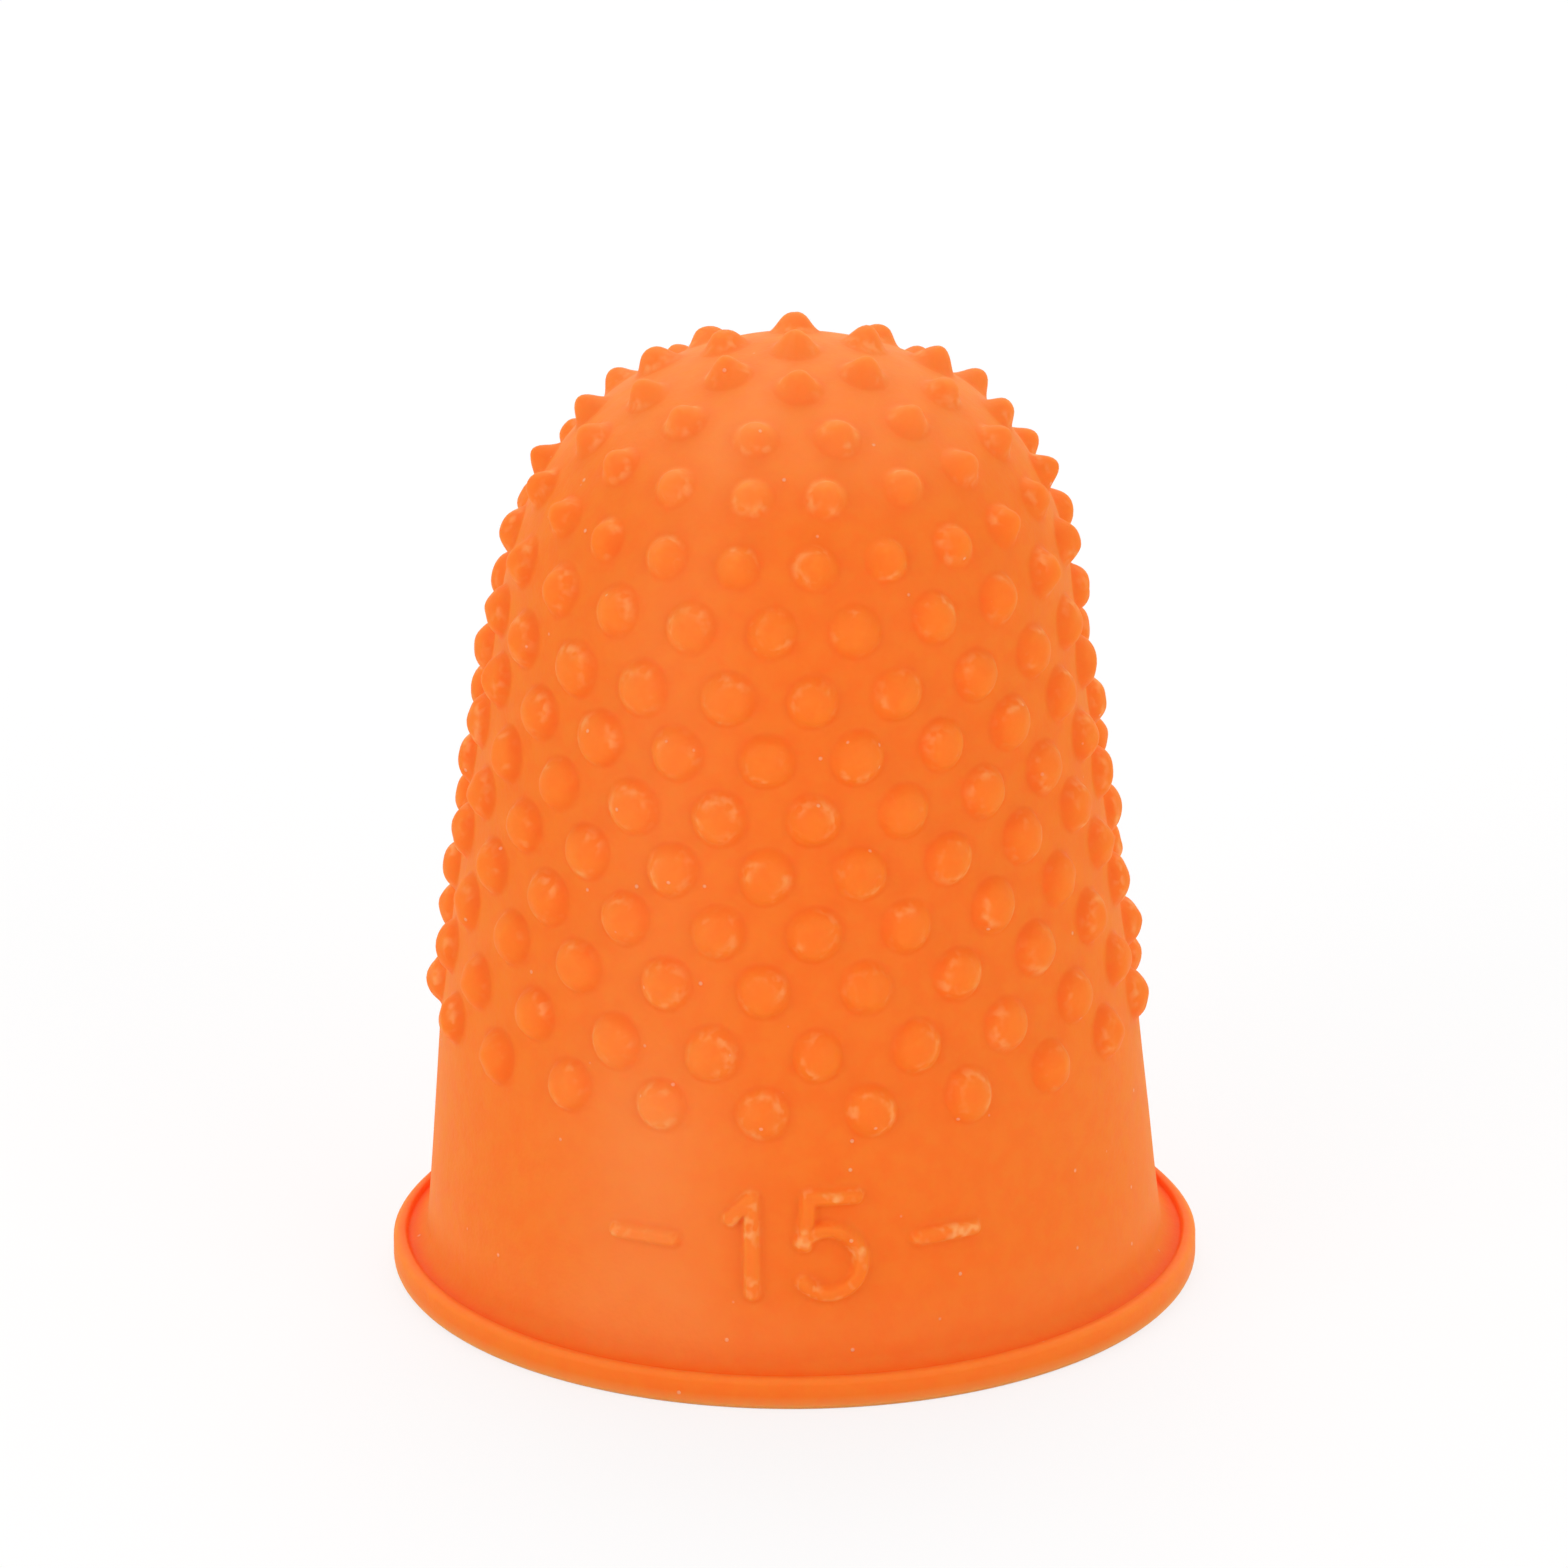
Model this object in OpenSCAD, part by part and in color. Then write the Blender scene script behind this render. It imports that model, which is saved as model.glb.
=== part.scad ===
// Rubber finger tip: a moulded cup with a domed end, a field of grip nubs and a rim round its mouth.
// It stands on the rim, with the origin at the centre of the mouth, +Z up and the front along -Y.

/* [Mouth and wall] */
// Inner diameter at the mouth
mouth_d = 15; // [13:0.5:20]
// Thickness of the rubber, measured level
wall_t = 1.1; // [0.8:0.05:1.5]
// Rounding of the mouth's inner edge
mouth_round = 0.25; // [0.1:0.05:0.3]

/* [Rim] */
// How far the rim stands out from the foot of the skirt
rim_out = 0.75; // [0.7:0.05:1.5]
// Thickness of the rim
rim_t = 0.7; // [0.6:0.05:1.4]
// Rounding of the rim's outer edges
rim_round = 0.15; // [0.05:0.05:0.25]
// Radius of the cove between the rim and the skirt
cove_r = 0.45; // [0.3:0.05:0.5]
// Depth of the gutter inside the rim's lip
gutter_depth = 0.1; // [0.05:0.05:0.2]

/* [Skirt and body] */
// Height of the plain skirt
skirt_h = 6; // [5:0.1:8]
// Slope of the skirt to the axis, in degrees
skirt_taper = 4.6; // [2:0.1:6]
// Height of the dome's top, without its nub
body_h = 22.7; // [20:0.1:30]
// Slope of the body to the axis, in degrees
body_taper = 8.3; // [6:0.1:9]

/* [Nubs] */
// Diameter of a nub at its foot
nub_d = 1.3; // [1.1:0.05:1.4]
// Diameter of a nub at its shoulder, where the bevel starts
nub_shoulder_d = 0.9; // [0.7:0.05:1]
// Diameter of a nub's flat top
nub_top_d = 0.56; // [0.3:0.02:0.6]
// Height of a nub above the wall
nub_h = 0.45; // [0.3:0.05:0.7]
// Height of the straight foot of a nub
nub_foot = 0.05; // [0.02:0.01:0.15]
// Height of a nub's bevel
nub_bevel = 0.12; // [0.06:0.02:0.2]
// Rows of nubs up the body
rows = 8; // [6:1:9]
// Nubs in each row round the body
row_count = 20; // [14:1:22]
// Clear height between the end rows' feet and the ends of the body
row_gap = 0.1; // [0.05:0.05:0.5]

/* [Hidden] */

// Which way a row turns from the front: neighbours turn opposite ways, so they stagger
function side(row) = row % 2 == 0 ? -1 : 1;

// Rings on the dome: angle from the tip, number of nubs, turn of the first nub from the front
dome_rings = [[72, row_count, side(rows) * 90 / row_count],
              [58, row_count, side(rows + 1) * 90 / row_count],
              [44, 16, 12], [31, 11, 16], [15, 5, 12], [0, 1, 0]];

// Depth to which a nub's root sinks into the wall
nub_root = 0.12;
// Depth to which the cove's arc laps into the skirt
cove_lap = 0.01;
// Length by which a cutting shape runs past the face that it cuts
past = 1;

mouth_r = mouth_d / 2;
foot_r = mouth_r + wall_t;
rim_r = foot_r + rim_out;
knee_r = foot_r - skirt_h * tan(skirt_taper);
// The dome is a sphere that touches the body's cone all round and reaches body_h
dome_z = (body_h - knee_r * cos(body_taper) - skirt_h * sin(body_taper)) / (1 - sin(body_taper));
dome_r = body_h - dome_z;
join_z = dome_z + dome_r * sin(body_taper);
join_r = dome_r * cos(body_taper);
// The cavity's dome has the same centre, and touches the cavity's cone
inner_dome_r = dome_r - wall_t * cos(body_taper);
inner_join_z = dome_z + inner_dome_r * sin(body_taper);
inner_join_r = inner_dome_r * cos(body_taper);
// The cove starts level at the gutter and rises to the skirt
gutter_z = rim_t - gutter_depth;
cove_z = gutter_z + cove_r;
cove_x = foot_r - cove_z * tan(skirt_taper) + cove_r - cove_lap;
// The rows share the body's height evenly
nub_reach = nub_d / 2 * cos(body_taper) + row_gap;
first_row_z = skirt_h + nub_reach;
row_rise = (join_z - nub_reach - first_row_z) / (rows - 1);

// Radius of the outside of the body's cone at a height
function body_r(z) = knee_r - (z - skirt_h) * tan(body_taper);

// Half of the outline of a dome, from the height where it touches its cone
module dome_half(radius, from_z, from_r) {
    intersection() {
        translate([0, dome_z]) circle(radius, $fn = 96);
        translate([0, from_z]) square([from_r, radius]);
    }
}

// Half section of the cup as if it were solid, without its rim
module cup_half() {
    polygon([[0, 0], [foot_r, 0], [knee_r, skirt_h], [join_r, join_z], [0, join_z]]);
    dome_half(dome_r, join_z, join_r);
}

// Half section of the rim, with rounded outer edges and a gutter inside its lip
module rim_half() {
    difference() {
        union() {
            square([rim_r - rim_round, rim_t]);
            translate([0, rim_round]) square([rim_r, rim_t - 2 * rim_round]);
            for (z = [rim_round, rim_t - rim_round])
                translate([rim_r - rim_round, z]) circle(rim_round, $fn = 32);
        }
        translate([cove_x - cove_r, gutter_z]) square([cove_r, gutter_depth + past]);
    }
}

// Half section of the cove that leads from the gutter up to the skirt
module cove_half() {
    difference() {
        square([cove_x, cove_z]);
        translate([cove_x, cove_z]) circle(cove_r, $fn = 48);
    }
}

// Half section of the cavity, open and rounded at the mouth
module cavity_half() {
    polygon([[0, -past], [mouth_r, -past], [mouth_r, 0], [knee_r - wall_t, skirt_h],
             [inner_join_r, inner_join_z], [0, inner_join_z]]);
    dome_half(inner_dome_r, inner_join_z, inner_join_r);
    difference() {
        translate([mouth_r - mouth_round, -past]) square([2 * mouth_round, past + mouth_round]);
        translate([mouth_r + mouth_round, mouth_round]) circle(mouth_round, $fn = 32);
    }
}

module blank() {
    rotate_extrude($fn = 72) {
        cup_half();
        rim_half();
        cove_half();
    }
}

module cavity() {
    rotate_extrude($fn = 72) cavity_half();
}

// One nub, standing on the wall with its root below
module nub() {
    rotate_extrude($fn = 14)
        polygon([[0, -nub_root], [nub_d / 2, -nub_root], [nub_d / 2, nub_foot],
                 [nub_shoulder_d / 2, nub_h - nub_bevel], [nub_top_d / 2, nub_h], [0, nub_h]]);
}

// A nub at a point of the wall, square to it: tilt is the wall's slope to the axis
module nub_at(radius, z, tilt, turn) {
    rotate([0, 0, turn - 90]) translate([radius, 0, z]) rotate([0, 90 - tilt, 0]) nub();
}

module body_nubs() {
    spacing = 360 / row_count;
    for (row = [0 : rows - 1], place = [0 : row_count - 1]) {
        z = first_row_z + row * row_rise;
        nub_at(body_r(z), z, body_taper, (place + side(row) / 4) * spacing);
    }
}

module dome_nubs() {
    for (ring = dome_rings, place = [0 : ring[1] - 1]) {
        tilt = 90 - ring[0];
        turn = ring[2] + place * 360 / ring[1];
        nub_at(dome_r * cos(tilt), dome_z + dome_r * sin(tilt), tilt, turn);
    }
}

module finger_tip() {
    color("darkorange") difference() {
        union() {
            blank();
            body_nubs();
            dome_nubs();
        }
        cavity();
    }
}

finger_tip();
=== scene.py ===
"""Rubber finger tip, dressed for looks: one moulded cup with a field of grip nubs, a plain skirt and a rim.

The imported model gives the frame. +Z runs along the cup's axis to the tip, and the front faces -Y. Sizes are in
millimetres, angles round the axis run from the front towards +X, and a mesh becomes metres when it is written.
"""

import logging
import math
from collections.abc import Mapping, Sequence
from dataclasses import dataclass
from enum import Enum
from typing import Any, Union

import bmesh
import bpy
import numpy as np
from mathutils import Matrix, Vector
from mathutils.geometry import delaunay_2d_cdt


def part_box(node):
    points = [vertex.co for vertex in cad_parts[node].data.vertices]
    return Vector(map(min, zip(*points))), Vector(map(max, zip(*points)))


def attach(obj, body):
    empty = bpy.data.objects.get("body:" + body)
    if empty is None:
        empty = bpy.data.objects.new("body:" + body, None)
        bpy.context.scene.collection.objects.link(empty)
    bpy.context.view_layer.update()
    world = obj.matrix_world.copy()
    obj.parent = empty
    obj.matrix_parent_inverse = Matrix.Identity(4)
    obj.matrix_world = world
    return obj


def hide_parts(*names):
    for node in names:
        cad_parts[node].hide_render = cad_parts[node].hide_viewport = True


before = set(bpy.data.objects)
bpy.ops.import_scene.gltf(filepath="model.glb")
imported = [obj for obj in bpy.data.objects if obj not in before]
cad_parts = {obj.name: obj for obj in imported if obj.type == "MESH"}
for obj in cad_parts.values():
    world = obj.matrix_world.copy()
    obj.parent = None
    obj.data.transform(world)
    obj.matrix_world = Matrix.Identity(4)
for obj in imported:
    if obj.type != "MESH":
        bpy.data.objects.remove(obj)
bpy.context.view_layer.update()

Array = np.ndarray
Colour = tuple[float, float, float, float]

MM = 0.001
TINY = 1e-9
NODE = "finger_tip"
BODY = "root"
PHOTO_SIDE = 1568

logging.basicConfig(level=logging.INFO, format="%(message)s")
log = logging.getLogger("finger_tip")


def srgb(red: int, green: int, blue: int) -> Colour:
    """Turns a screen colour of 0 to 255 into the linear colour that a shader takes.

    Args:
        red: Red, 0 to 255.
        green: Green, 0 to 255.
        blue: Blue, 0 to 255.

    Returns:
        The linear colour, with full alpha.
    """
    shares = [value / 255 for value in (red, green, blue)]
    linear = [s / 12.92 if s <= 0.04045 else ((s + 0.055) / 1.055) ** 2.4 for s in shares]
    return (*linear, 1.0)


def ease(low: float, high: float, value: Array) -> Array:
    """Gives 0 below low, 1 above high and a smooth cubic between them.

    Args:
        low: Where the rise starts.
        high: Where it ends.
        value: What is eased.

    Returns:
        Shares from 0 to 1, shaped as value is.
    """
    share = np.clip((value - low) / (high - low), 0, 1)
    return share * share * (3 - 2 * share)


def bell(value: Array, middle: float, width: float) -> Array:
    """Gives a bell curve: 1 at the middle, and 1/e at the width to either side.

    Args:
        value: Where it is worked out.
        middle: Its middle.
        width: Its width.

    Returns:
        Shares from 0 to 1, shaped as value is.
    """
    return np.exp(-(((value - middle) / width) ** 2))


def around(radius: Array, turn: Array, height: Array) -> Array:
    """Puts points round the axis.

    Args:
        radius: Their distance from the axis.
        turn: Their angle from the front towards +X, in radians.
        height: Their height.

    Returns:
        Points with a last axis of three.
    """
    return np.stack(np.broadcast_arrays(radius * np.sin(turn), -radius * np.cos(turn), height), -1)


def in_plane(turn: Array) -> Array:
    """Gives the unit directions of angles from the front, in the plane seen from above."""
    return np.stack([np.sin(turn), -np.cos(turn)], -1)


def held(dice: np.random.Generator, middle: float, spread: tuple[float, float, float], count: int) -> Array:
    """Draws values from a normal curve and holds them in a span.

    Args:
        dice: The seeded source of chance.
        middle: The curve's middle.
        spread: Its spread, then the span's lowest and highest value.
        count: How many values.

    Returns:
        The values.
    """
    width, low, high = spread
    return dice.normal(middle, width, count).clip(low, high)


class Mark(Enum):
    """What a vertex remembers for the rubber's finish, with its painted shade, highlights and sheen."""

    # Painted shade in the creases round the nubs, beside the number's strokes and in the gutter.
    CREASE = "crease_shade"
    CROWN = "crown"
    # Painted highlights on the nubs' shoulders and the number's strokes.
    EDGE = "edge"
    # Painted light on the lip's lower and upper edge.
    LIP_LIGHT = "lip_light"
    # A painted sheen: paler colour that stands in for light.
    BLOOM = "sheen"


@dataclass(frozen=True)
class Cup:
    """The moulded cup's sizes in millimetres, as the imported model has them.

    Attributes:
        rim_r: Outer radius of the rim.
        top: Height of the whole object.
        mouth_r: Inner radius at the mouth.
        wall_t: Thickness of the rubber, measured level.
        mouth_round: Rounding of the mouth's inner edge.
        rim_t: Thickness of the rim.
        rim_round: Rounding of the rim's outer edges.
        cove_r: Radius of the cove between the rim and the skirt.
        gutter_depth: Depth of the gutter inside the rim's lip.
        skirt_h: Height of the plain skirt.
        skirt_taper: Slope of the skirt to the axis, in degrees.
        body_h: Height of the dome's top without its nub.
        body_taper: Slope of the body to the axis, in degrees.
    """

    rim_r: float
    top: float
    mouth_r: float = 7.5
    wall_t: float = 1.1
    mouth_round: float = 0.25
    rim_t: float = 0.7
    rim_round: float = 0.15
    cove_r: float = 0.45
    gutter_depth: float = 0.1
    skirt_h: float = 6.0
    skirt_taper: float = 4.6
    body_h: float = 22.7
    body_taper: float = 8.3

    @classmethod
    def from_frame(cls, node: str) -> "Cup":
        """Takes the rim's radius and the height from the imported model's node.

        Args:
            node: Name of the CAD node.

        Returns:
            The cup's sizes.
        """
        low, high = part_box(node)
        return cls(rim_r=(high.x - low.x) / 2 / MM, top=high.z / MM)

    @property
    def lean(self) -> tuple[float, float]:
        """The slopes of the skirt and the body to the axis, in radians."""
        return math.radians(self.skirt_taper), math.radians(self.body_taper)

    @property
    def foot_r(self) -> float:
        """The skirt's radius at its foot."""
        return self.mouth_r + self.wall_t

    @property
    def knee_r(self) -> float:
        """The radius at the knee, where the skirt meets the body."""
        return self.foot_r - self.skirt_h * math.tan(self.lean[0])

    @property
    def dome_z(self) -> float:
        """The height of the centre of the dome, a sphere that touches the body's cone.

        Returns:
            The height in millimetres.
        """
        body = self.lean[1]
        reach = self.knee_r * math.cos(body) + self.skirt_h * math.sin(body)
        return (self.body_h - reach) / (1 - math.sin(body))

    @property
    def dome_r(self) -> float:
        """The dome's radius."""
        return self.body_h - self.dome_z

    @property
    def cone_run(self) -> float:
        """The arc length up the body's cone, from the knee to the dome."""
        body = self.lean[1]
        return (self.dome_z + self.dome_r * math.sin(body) - self.skirt_h) / math.cos(body)

    @property
    def tip_run(self) -> float:
        """The arc length from the knee to the dome's top."""
        return self.cone_run + self.dome_r * (math.pi / 2 - self.lean[1])

    def run_at_height(self, z: float) -> float:
        """The arc length from the knee to a height on the skirt or the body's cone, downwards negative."""
        return (z - self.skirt_h) / math.cos(self.lean[0 if z < self.skirt_h else 1])

    def wall(self, run: Array) -> tuple[Array, Array, Array]:
        """Follows the outside of the wall: a cone below the knee, a cone above it, then a sphere.

        Args:
            run: Arc lengths from the knee, upwards positive.

        Returns:
            The radius, the height and the tilt of the outward direction above level, in radians.
        """
        skirt, body = self.lean
        tilt = np.where(run < 0, skirt, body + np.maximum(run - self.cone_run, 0) / self.dome_r)
        cone_r = self.knee_r - run * np.where(run < 0, math.sin(skirt), math.sin(body))
        cone_z = self.skirt_h + run * np.where(run < 0, math.cos(skirt), math.cos(body))
        on_dome = run > self.cone_run
        radius = np.where(on_dome, self.dome_r * np.cos(tilt), cone_r)
        height = np.where(on_dome, self.dome_z + self.dome_r * np.sin(tilt), cone_z)
        return radius, height, tilt

    def place(self, run: Array, turn: Array) -> tuple[Array, Array]:
        """Puts arc lengths and turns on the wall as points, each with its outward direction.

        Args:
            run: Arc lengths from the knee.
            turn: Angles round the axis from the front, in radians.

        Returns:
            Points and unit directions, with a last axis of three.
        """
        run, turn = np.broadcast_arrays(run, turn)
        radius, height, tilt = self.wall(run)
        return around(radius, turn, height), around(np.cos(tilt), turn, np.sin(tilt))


@dataclass(frozen=True)
class Unevenness:
    """How the thin, soft moulding strays from its true form, in millimetres.

    Attributes:
        cup: The cup.
        depth: Greatest slow swell of the wall either way.
        slants: Pace of each of its waves along the three axes, in radians to a millimetre.
        starts: Where each wave starts, in radians.
        shares: Each wave's share of the depth.
        flatness: How far the dome's top is sunk.
        flat_span: Heights above the dome's centre between which that sets in, as shares of its radius.
        bow: How far the middle of the cup's height bows to the left, and the tip to the right.
        tip_span: Shares of the cup's height between which the bow to the right sets in.
        gather: Share of a radian by which the nubs at the sides are drawn towards the front.
        twist: Turn of the whole field, in degrees.
        fade_from: Height below which the cup is true, because the rim holds it round.
        fade_to: Height above which the wall is as uneven as it gets.
    """

    cup: Cup
    depth: float = 0.035
    slants: tuple[tuple[float, float, float], ...] = (
        (0.42, 0.15, 0.31), (-0.23, 0.51, 0.18), (1.10, -0.70, 0.95), (0.85, 1.25, -1.30))
    starts: tuple[float, ...] = (0.4, 2.1, 1.3, 4.4)
    shares: tuple[float, ...] = (0.42, 0.33, 0.14, 0.11)
    flatness: float = 0.17
    flat_span: tuple[float, float] = (0.70, 0.97)
    bow: tuple[float, float] = (0.17, 0.10)
    tip_span: tuple[float, float] = (0.6, 1.0)
    gather: float = 0.026
    twist: float = 0.57
    fade_from: float = 0.9
    fade_to: float = 3.0

    def swell(self, points: Array) -> Array:
        """Adds sine waves that cross the points slantwise, faded out towards the rim, less the dome's flatness.

        The flatness eases in with the height on the dome.

        Args:
            points: Points on the wall, with a last axis of three.

        Returns:
            How far each point swells outwards.
        """
        waves = np.sin(points @ np.array(self.slants).T + np.array(self.starts)) @ np.array(self.shares)
        sunk = self.flatness * ease(*self.flat_span, (points[..., 2] - self.cup.dome_z) / self.cup.dome_r)
        return self.depth * waves * ease(self.fade_from, self.fade_to, points[..., 2]) - sunk

    def strayed(self, points: Array) -> Array:
        """Moves the points of the true cup to where the moulding has them.

        A point's turn loses a share of its own sine and gains the twist. Then the cup bows to the left by half a
        sine wave of the height, and to the right towards the tip.

        Args:
            points: Points of the true cup, with a last axis of three.

        Returns:
            The moved points.
        """
        across, depth, height = points[..., 0], -points[..., 1], points[..., 2]
        radius, turn = np.hypot(across, depth), np.arctan2(across, depth)
        turn = turn - self.gather * np.sin(turn) + math.radians(self.twist)
        along = np.clip((height - self.fade_from) / (self.cup.body_h - self.fade_from), 0, 1)
        left, right = self.bow
        moved = around(radius, turn, height)
        moved[..., 0] += right * ease(*self.tip_span, along) - left * np.sin(math.pi * along)
        return moved


@dataclass(frozen=True)
class PaintedSheen:
    """Painted sheen standing in for light: an upright band on the left of the front, the skirt's foot and the tip.

    Attributes:
        turn: Turn of the band's middle from the front, in degrees.
        width: Half its width, in degrees.
        fade: Heights in millimetres between which the band thins out upwards.
        least: The band's strength above them.
        foot: Heights between which the painted sheen at the foot thins out upwards.
        foot_share: Strength of the painted sheen at the foot.
        tip: Heights between which the painted sheen at the tip sets in.
        tip_share: Strength of the painted sheen at the tip.
    """

    turn: float = -25.0
    width: float = 15.0
    fade: tuple[float, float] = (6.0, 9.0)
    least: float = 0.35
    foot: tuple[float, float] = (1.3, 3.0)
    foot_share: float = 0.3
    tip: tuple[float, float] = (19.9, 21.5)
    tip_share: float = 0.6

    def share(self, points: Array) -> Array:
        """Works out the painted sheen: a bell of the turn that eases down with the height, plus the foot's and tip's.

        Args:
            points: Points with a last axis of three, in millimetres.

        Returns:
            Shares from 0 to 1.
        """
        turn = np.degrees(np.arctan2(points[..., 0], -points[..., 1]))
        height = points[..., 2]
        band = bell(turn, self.turn, self.width) * (1 - (1 - self.least) * ease(*self.fade, height))
        foot = self.foot_share * (1 - ease(*self.foot, height))
        return np.minimum(band + foot + self.tip_share * ease(*self.tip, height), 1)


class Skin:
    """Gathers the patches of one closed surface and writes them as a mesh."""

    def __init__(self, unevenness: Unevenness, sheen: PaintedSheen) -> None:
        """Starts with no patch.

        Args:
            unevenness: How the surface strays from its true form.
            sheen: Where it takes the painted sheen, paler colour standing in for light.
        """
        self._unevenness = unevenness
        self._sheen = sheen
        self._points: list[Array] = []
        self._faces: list[Array] = []
        self._marks: dict[Mark, list[Array]] = {mark: [] for mark in Mark}
        self._count = 0

    def add(self, points: Array, marks: Mapping[Mark, Array]) -> Array:
        """Adds vertices.

        Args:
            points: Points in millimetres, with a last axis of three.
            marks: The value of each mark at the points. A mark that is left out is 0, but the painted sheen is
            worked out here, and its value thins it.

        Returns:
            The vertices' numbers, shaped as the points are.
        """
        shape = points.shape[:-1]
        count = math.prod(shape)
        self._points.append(points.reshape(-1, 3))
        # The painted sheen, paler colour standing in for light, is worked out from the points.
        values = {**marks, Mark.BLOOM: self._sheen.share(points) * marks.get(Mark.BLOOM, 1.0)}
        for mark, store in self._marks.items():
            store.append(np.broadcast_to(values.get(mark, 0.0), shape).reshape(-1))
        numbers = np.arange(self._count, self._count + count).reshape(shape)
        self._count += count
        return numbers

    def triangles(self, first: Array, second: Array, third: Array) -> None:
        """Adds triangles whose corners run anticlockwise seen from outside."""
        self._faces.append(np.stack(np.broadcast_arrays(first, second, third), -1).reshape(-1, 3))

    def ribbon(self, upper: Array, lower: Array) -> None:
        """Joins two closed rings of as many vertices, each running anticlockwise seen from above.

        Args:
            upper: The upper ring's vertex numbers, along the last axis.
            lower: The lower ring's.
        """
        upper_next, lower_next = np.roll(upper, -1, -1), np.roll(lower, -1, -1)
        self.triangles(lower, lower_next, upper_next)
        self.triangles(lower, upper_next, upper)

    def graded_ribbon(self, coarse: Array, fine: Array, starts: Array, fine_above: bool) -> None:
        """Joins a coarse closed ring to a finer one by fans.

        Each coarse stretch takes the fine stretches beside it, the first half from its own start and the rest from
        its end, and one triangle closes the gap between the two fans.

        Args:
            coarse: The coarse ring's vertex numbers.
            fine: The fine ring's vertex numbers.
            starts: For each coarse vertex, the place in the fine ring of the vertex beside it.
            fine_above: Whether the fine ring is the upper one.
        """
        ends = np.append(starts[1:], len(fine))
        middles = (starts + ends + 1) // 2
        stretch = np.repeat(np.arange(len(coarse)), ends - starts)
        place = np.arange(len(fine))
        owner = np.where(place < middles[stretch], stretch, (stretch + 1) % len(coarse))
        after = np.roll(fine, -1)
        gap = fine[middles % len(fine)]
        if fine_above:
            self.triangles(coarse[owner], after, fine)
            self.triangles(coarse, np.roll(coarse, -1), gap)
        else:
            self.triangles(coarse[owner], fine, after)
            self.triangles(coarse, gap, np.roll(coarse, -1))

    def write(self, name: str, join: float = 2e-6) -> bpy.types.Object:
        """Makes the object, joining the vertices where patches meet.

        Args:
            name: The object's name.
            join: Distance in metres within which vertices are one.

        Returns:
            The object, at the origin, with smooth faces.
        """
        mesh = bpy.data.meshes.new(name)
        mesh.from_pydata(self._unevenness.strayed(np.vstack(self._points)) * MM, [], np.vstack(self._faces))
        for mark, store in self._marks.items():
            layer = mesh.attributes.new(mark.value, "FLOAT", "POINT")
            layer.data.foreach_set("value", np.concatenate(store).astype(np.float32))
        welded = bmesh.new()
        welded.from_mesh(mesh)
        bmesh.ops.remove_doubles(welded, verts=welded.verts, dist=join)
        open_edges = sum(not edge.is_manifold for edge in welded.edges)
        log.info("%s: %d triangles, %d open edges, %.1f mm3", name, len(welded.faces), open_edges,
                 welded.calc_volume(signed=True) / MM**3)
        welded.to_mesh(mesh)
        welded.free()
        mesh.shade_smooth()
        made = bpy.data.objects.new(name, mesh)
        bpy.context.scene.collection.objects.link(made)
        return made


@dataclass(frozen=True)
class NubShape:
    """One nub as the mould leaves it: a low round-tipped cone on a short steep flank.

    Attributes:
        foot_r: Radius at the foot, in millimetres.
        height: Height above the wall, of a blunt nub and of a sharp one.
        rings: Radii of the rings, as shares of foot_r.
        blunt: Height of a blunt nub at each ring, as shares of its height.
        sharp: Height of a sharp nub at each ring, as shares of its height.
        dimple_r: Radius of the sunk or raised middle, as a share of foot_r.
        shoulder: Radius where the cone turns down into the flank, as a share of foot_r.
        ripple: Greatest depth of the top's unevenness, in millimetres.
        ripple_gap: Length of its waves.
        ripple_span: Shares of foot_r between which the ripple sets in, inwards.
        crease_shade: Strength, middle and width of the painted shade round the foot, the last two as shares of
        foot_r.
        crown_span: Shares of foot_r between which the crown sets in, inwards.
        edge_width: Width of the painted highlights round the shoulder, as a share of foot_r.
    """

    foot_r: float = 0.645
    height: tuple[float, float] = (0.43, 0.48)
    rings: tuple[float, ...] = (0.15, 0.29, 0.42, 0.54, 0.65, 0.75, 0.84, 0.92, 1.0, 1.06)
    blunt: tuple[float, ...] = (0.975, 0.91, 0.83, 0.735, 0.63, 0.505, 0.345, 0.175, 0.05, 0.0)
    sharp: tuple[float, ...] = (0.965, 0.875, 0.745, 0.57, 0.385, 0.235, 0.125, 0.06, 0.018, 0.0)
    dimple_r: float = 0.34
    shoulder: float = 0.72
    ripple: float = 0.02
    ripple_gap: float = 0.55
    ripple_span: tuple[float, float] = (0.95, 0.55)
    # Painted shade round the nub's foot.
    crease_shade: tuple[float, float, float] = (0.3, 0.97, 0.15)
    crown_span: tuple[float, float] = (0.95, 0.6)
    # Width of the painted highlights round the shoulder.
    edge_width: float = 0.17


@dataclass(frozen=True)
class NubSpread:
    """How widely the nubs differ. A spread of three is that of a normal curve, then the span that holds it.

    Attributes:
        size: Spread of the radius against the usual one.
        tall: Spread of the height against the usual one.
        dimple: Span of the middle's depth in millimetres.
        oval: Greatest share by which the foot is drawn out.
        lobes: Greatest share by which it is three-cornered.
        slant: Greatest share of the height by which the top leans.
        ripple: Span of the ripple's depth against the greatest.
        shift: Spreads of the centre's move in millimetres, round the wall and up it.
    """

    size: tuple[float, float, float] = (0.022, 0.95, 1.04)
    tall: tuple[float, float, float] = (0.05, 0.86, 1.05)
    dimple: tuple[float, float] = (-0.02, 0.06)
    oval: float = 0.045
    lobes: float = 0.02
    slant: float = 0.10
    ripple: tuple[float, float] = (0.2, 1.0)
    shift: tuple[tuple[float, float, float], ...] = ((0.03, -0.07, 0.07), (0.015, -0.03, 0.03))


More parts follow.
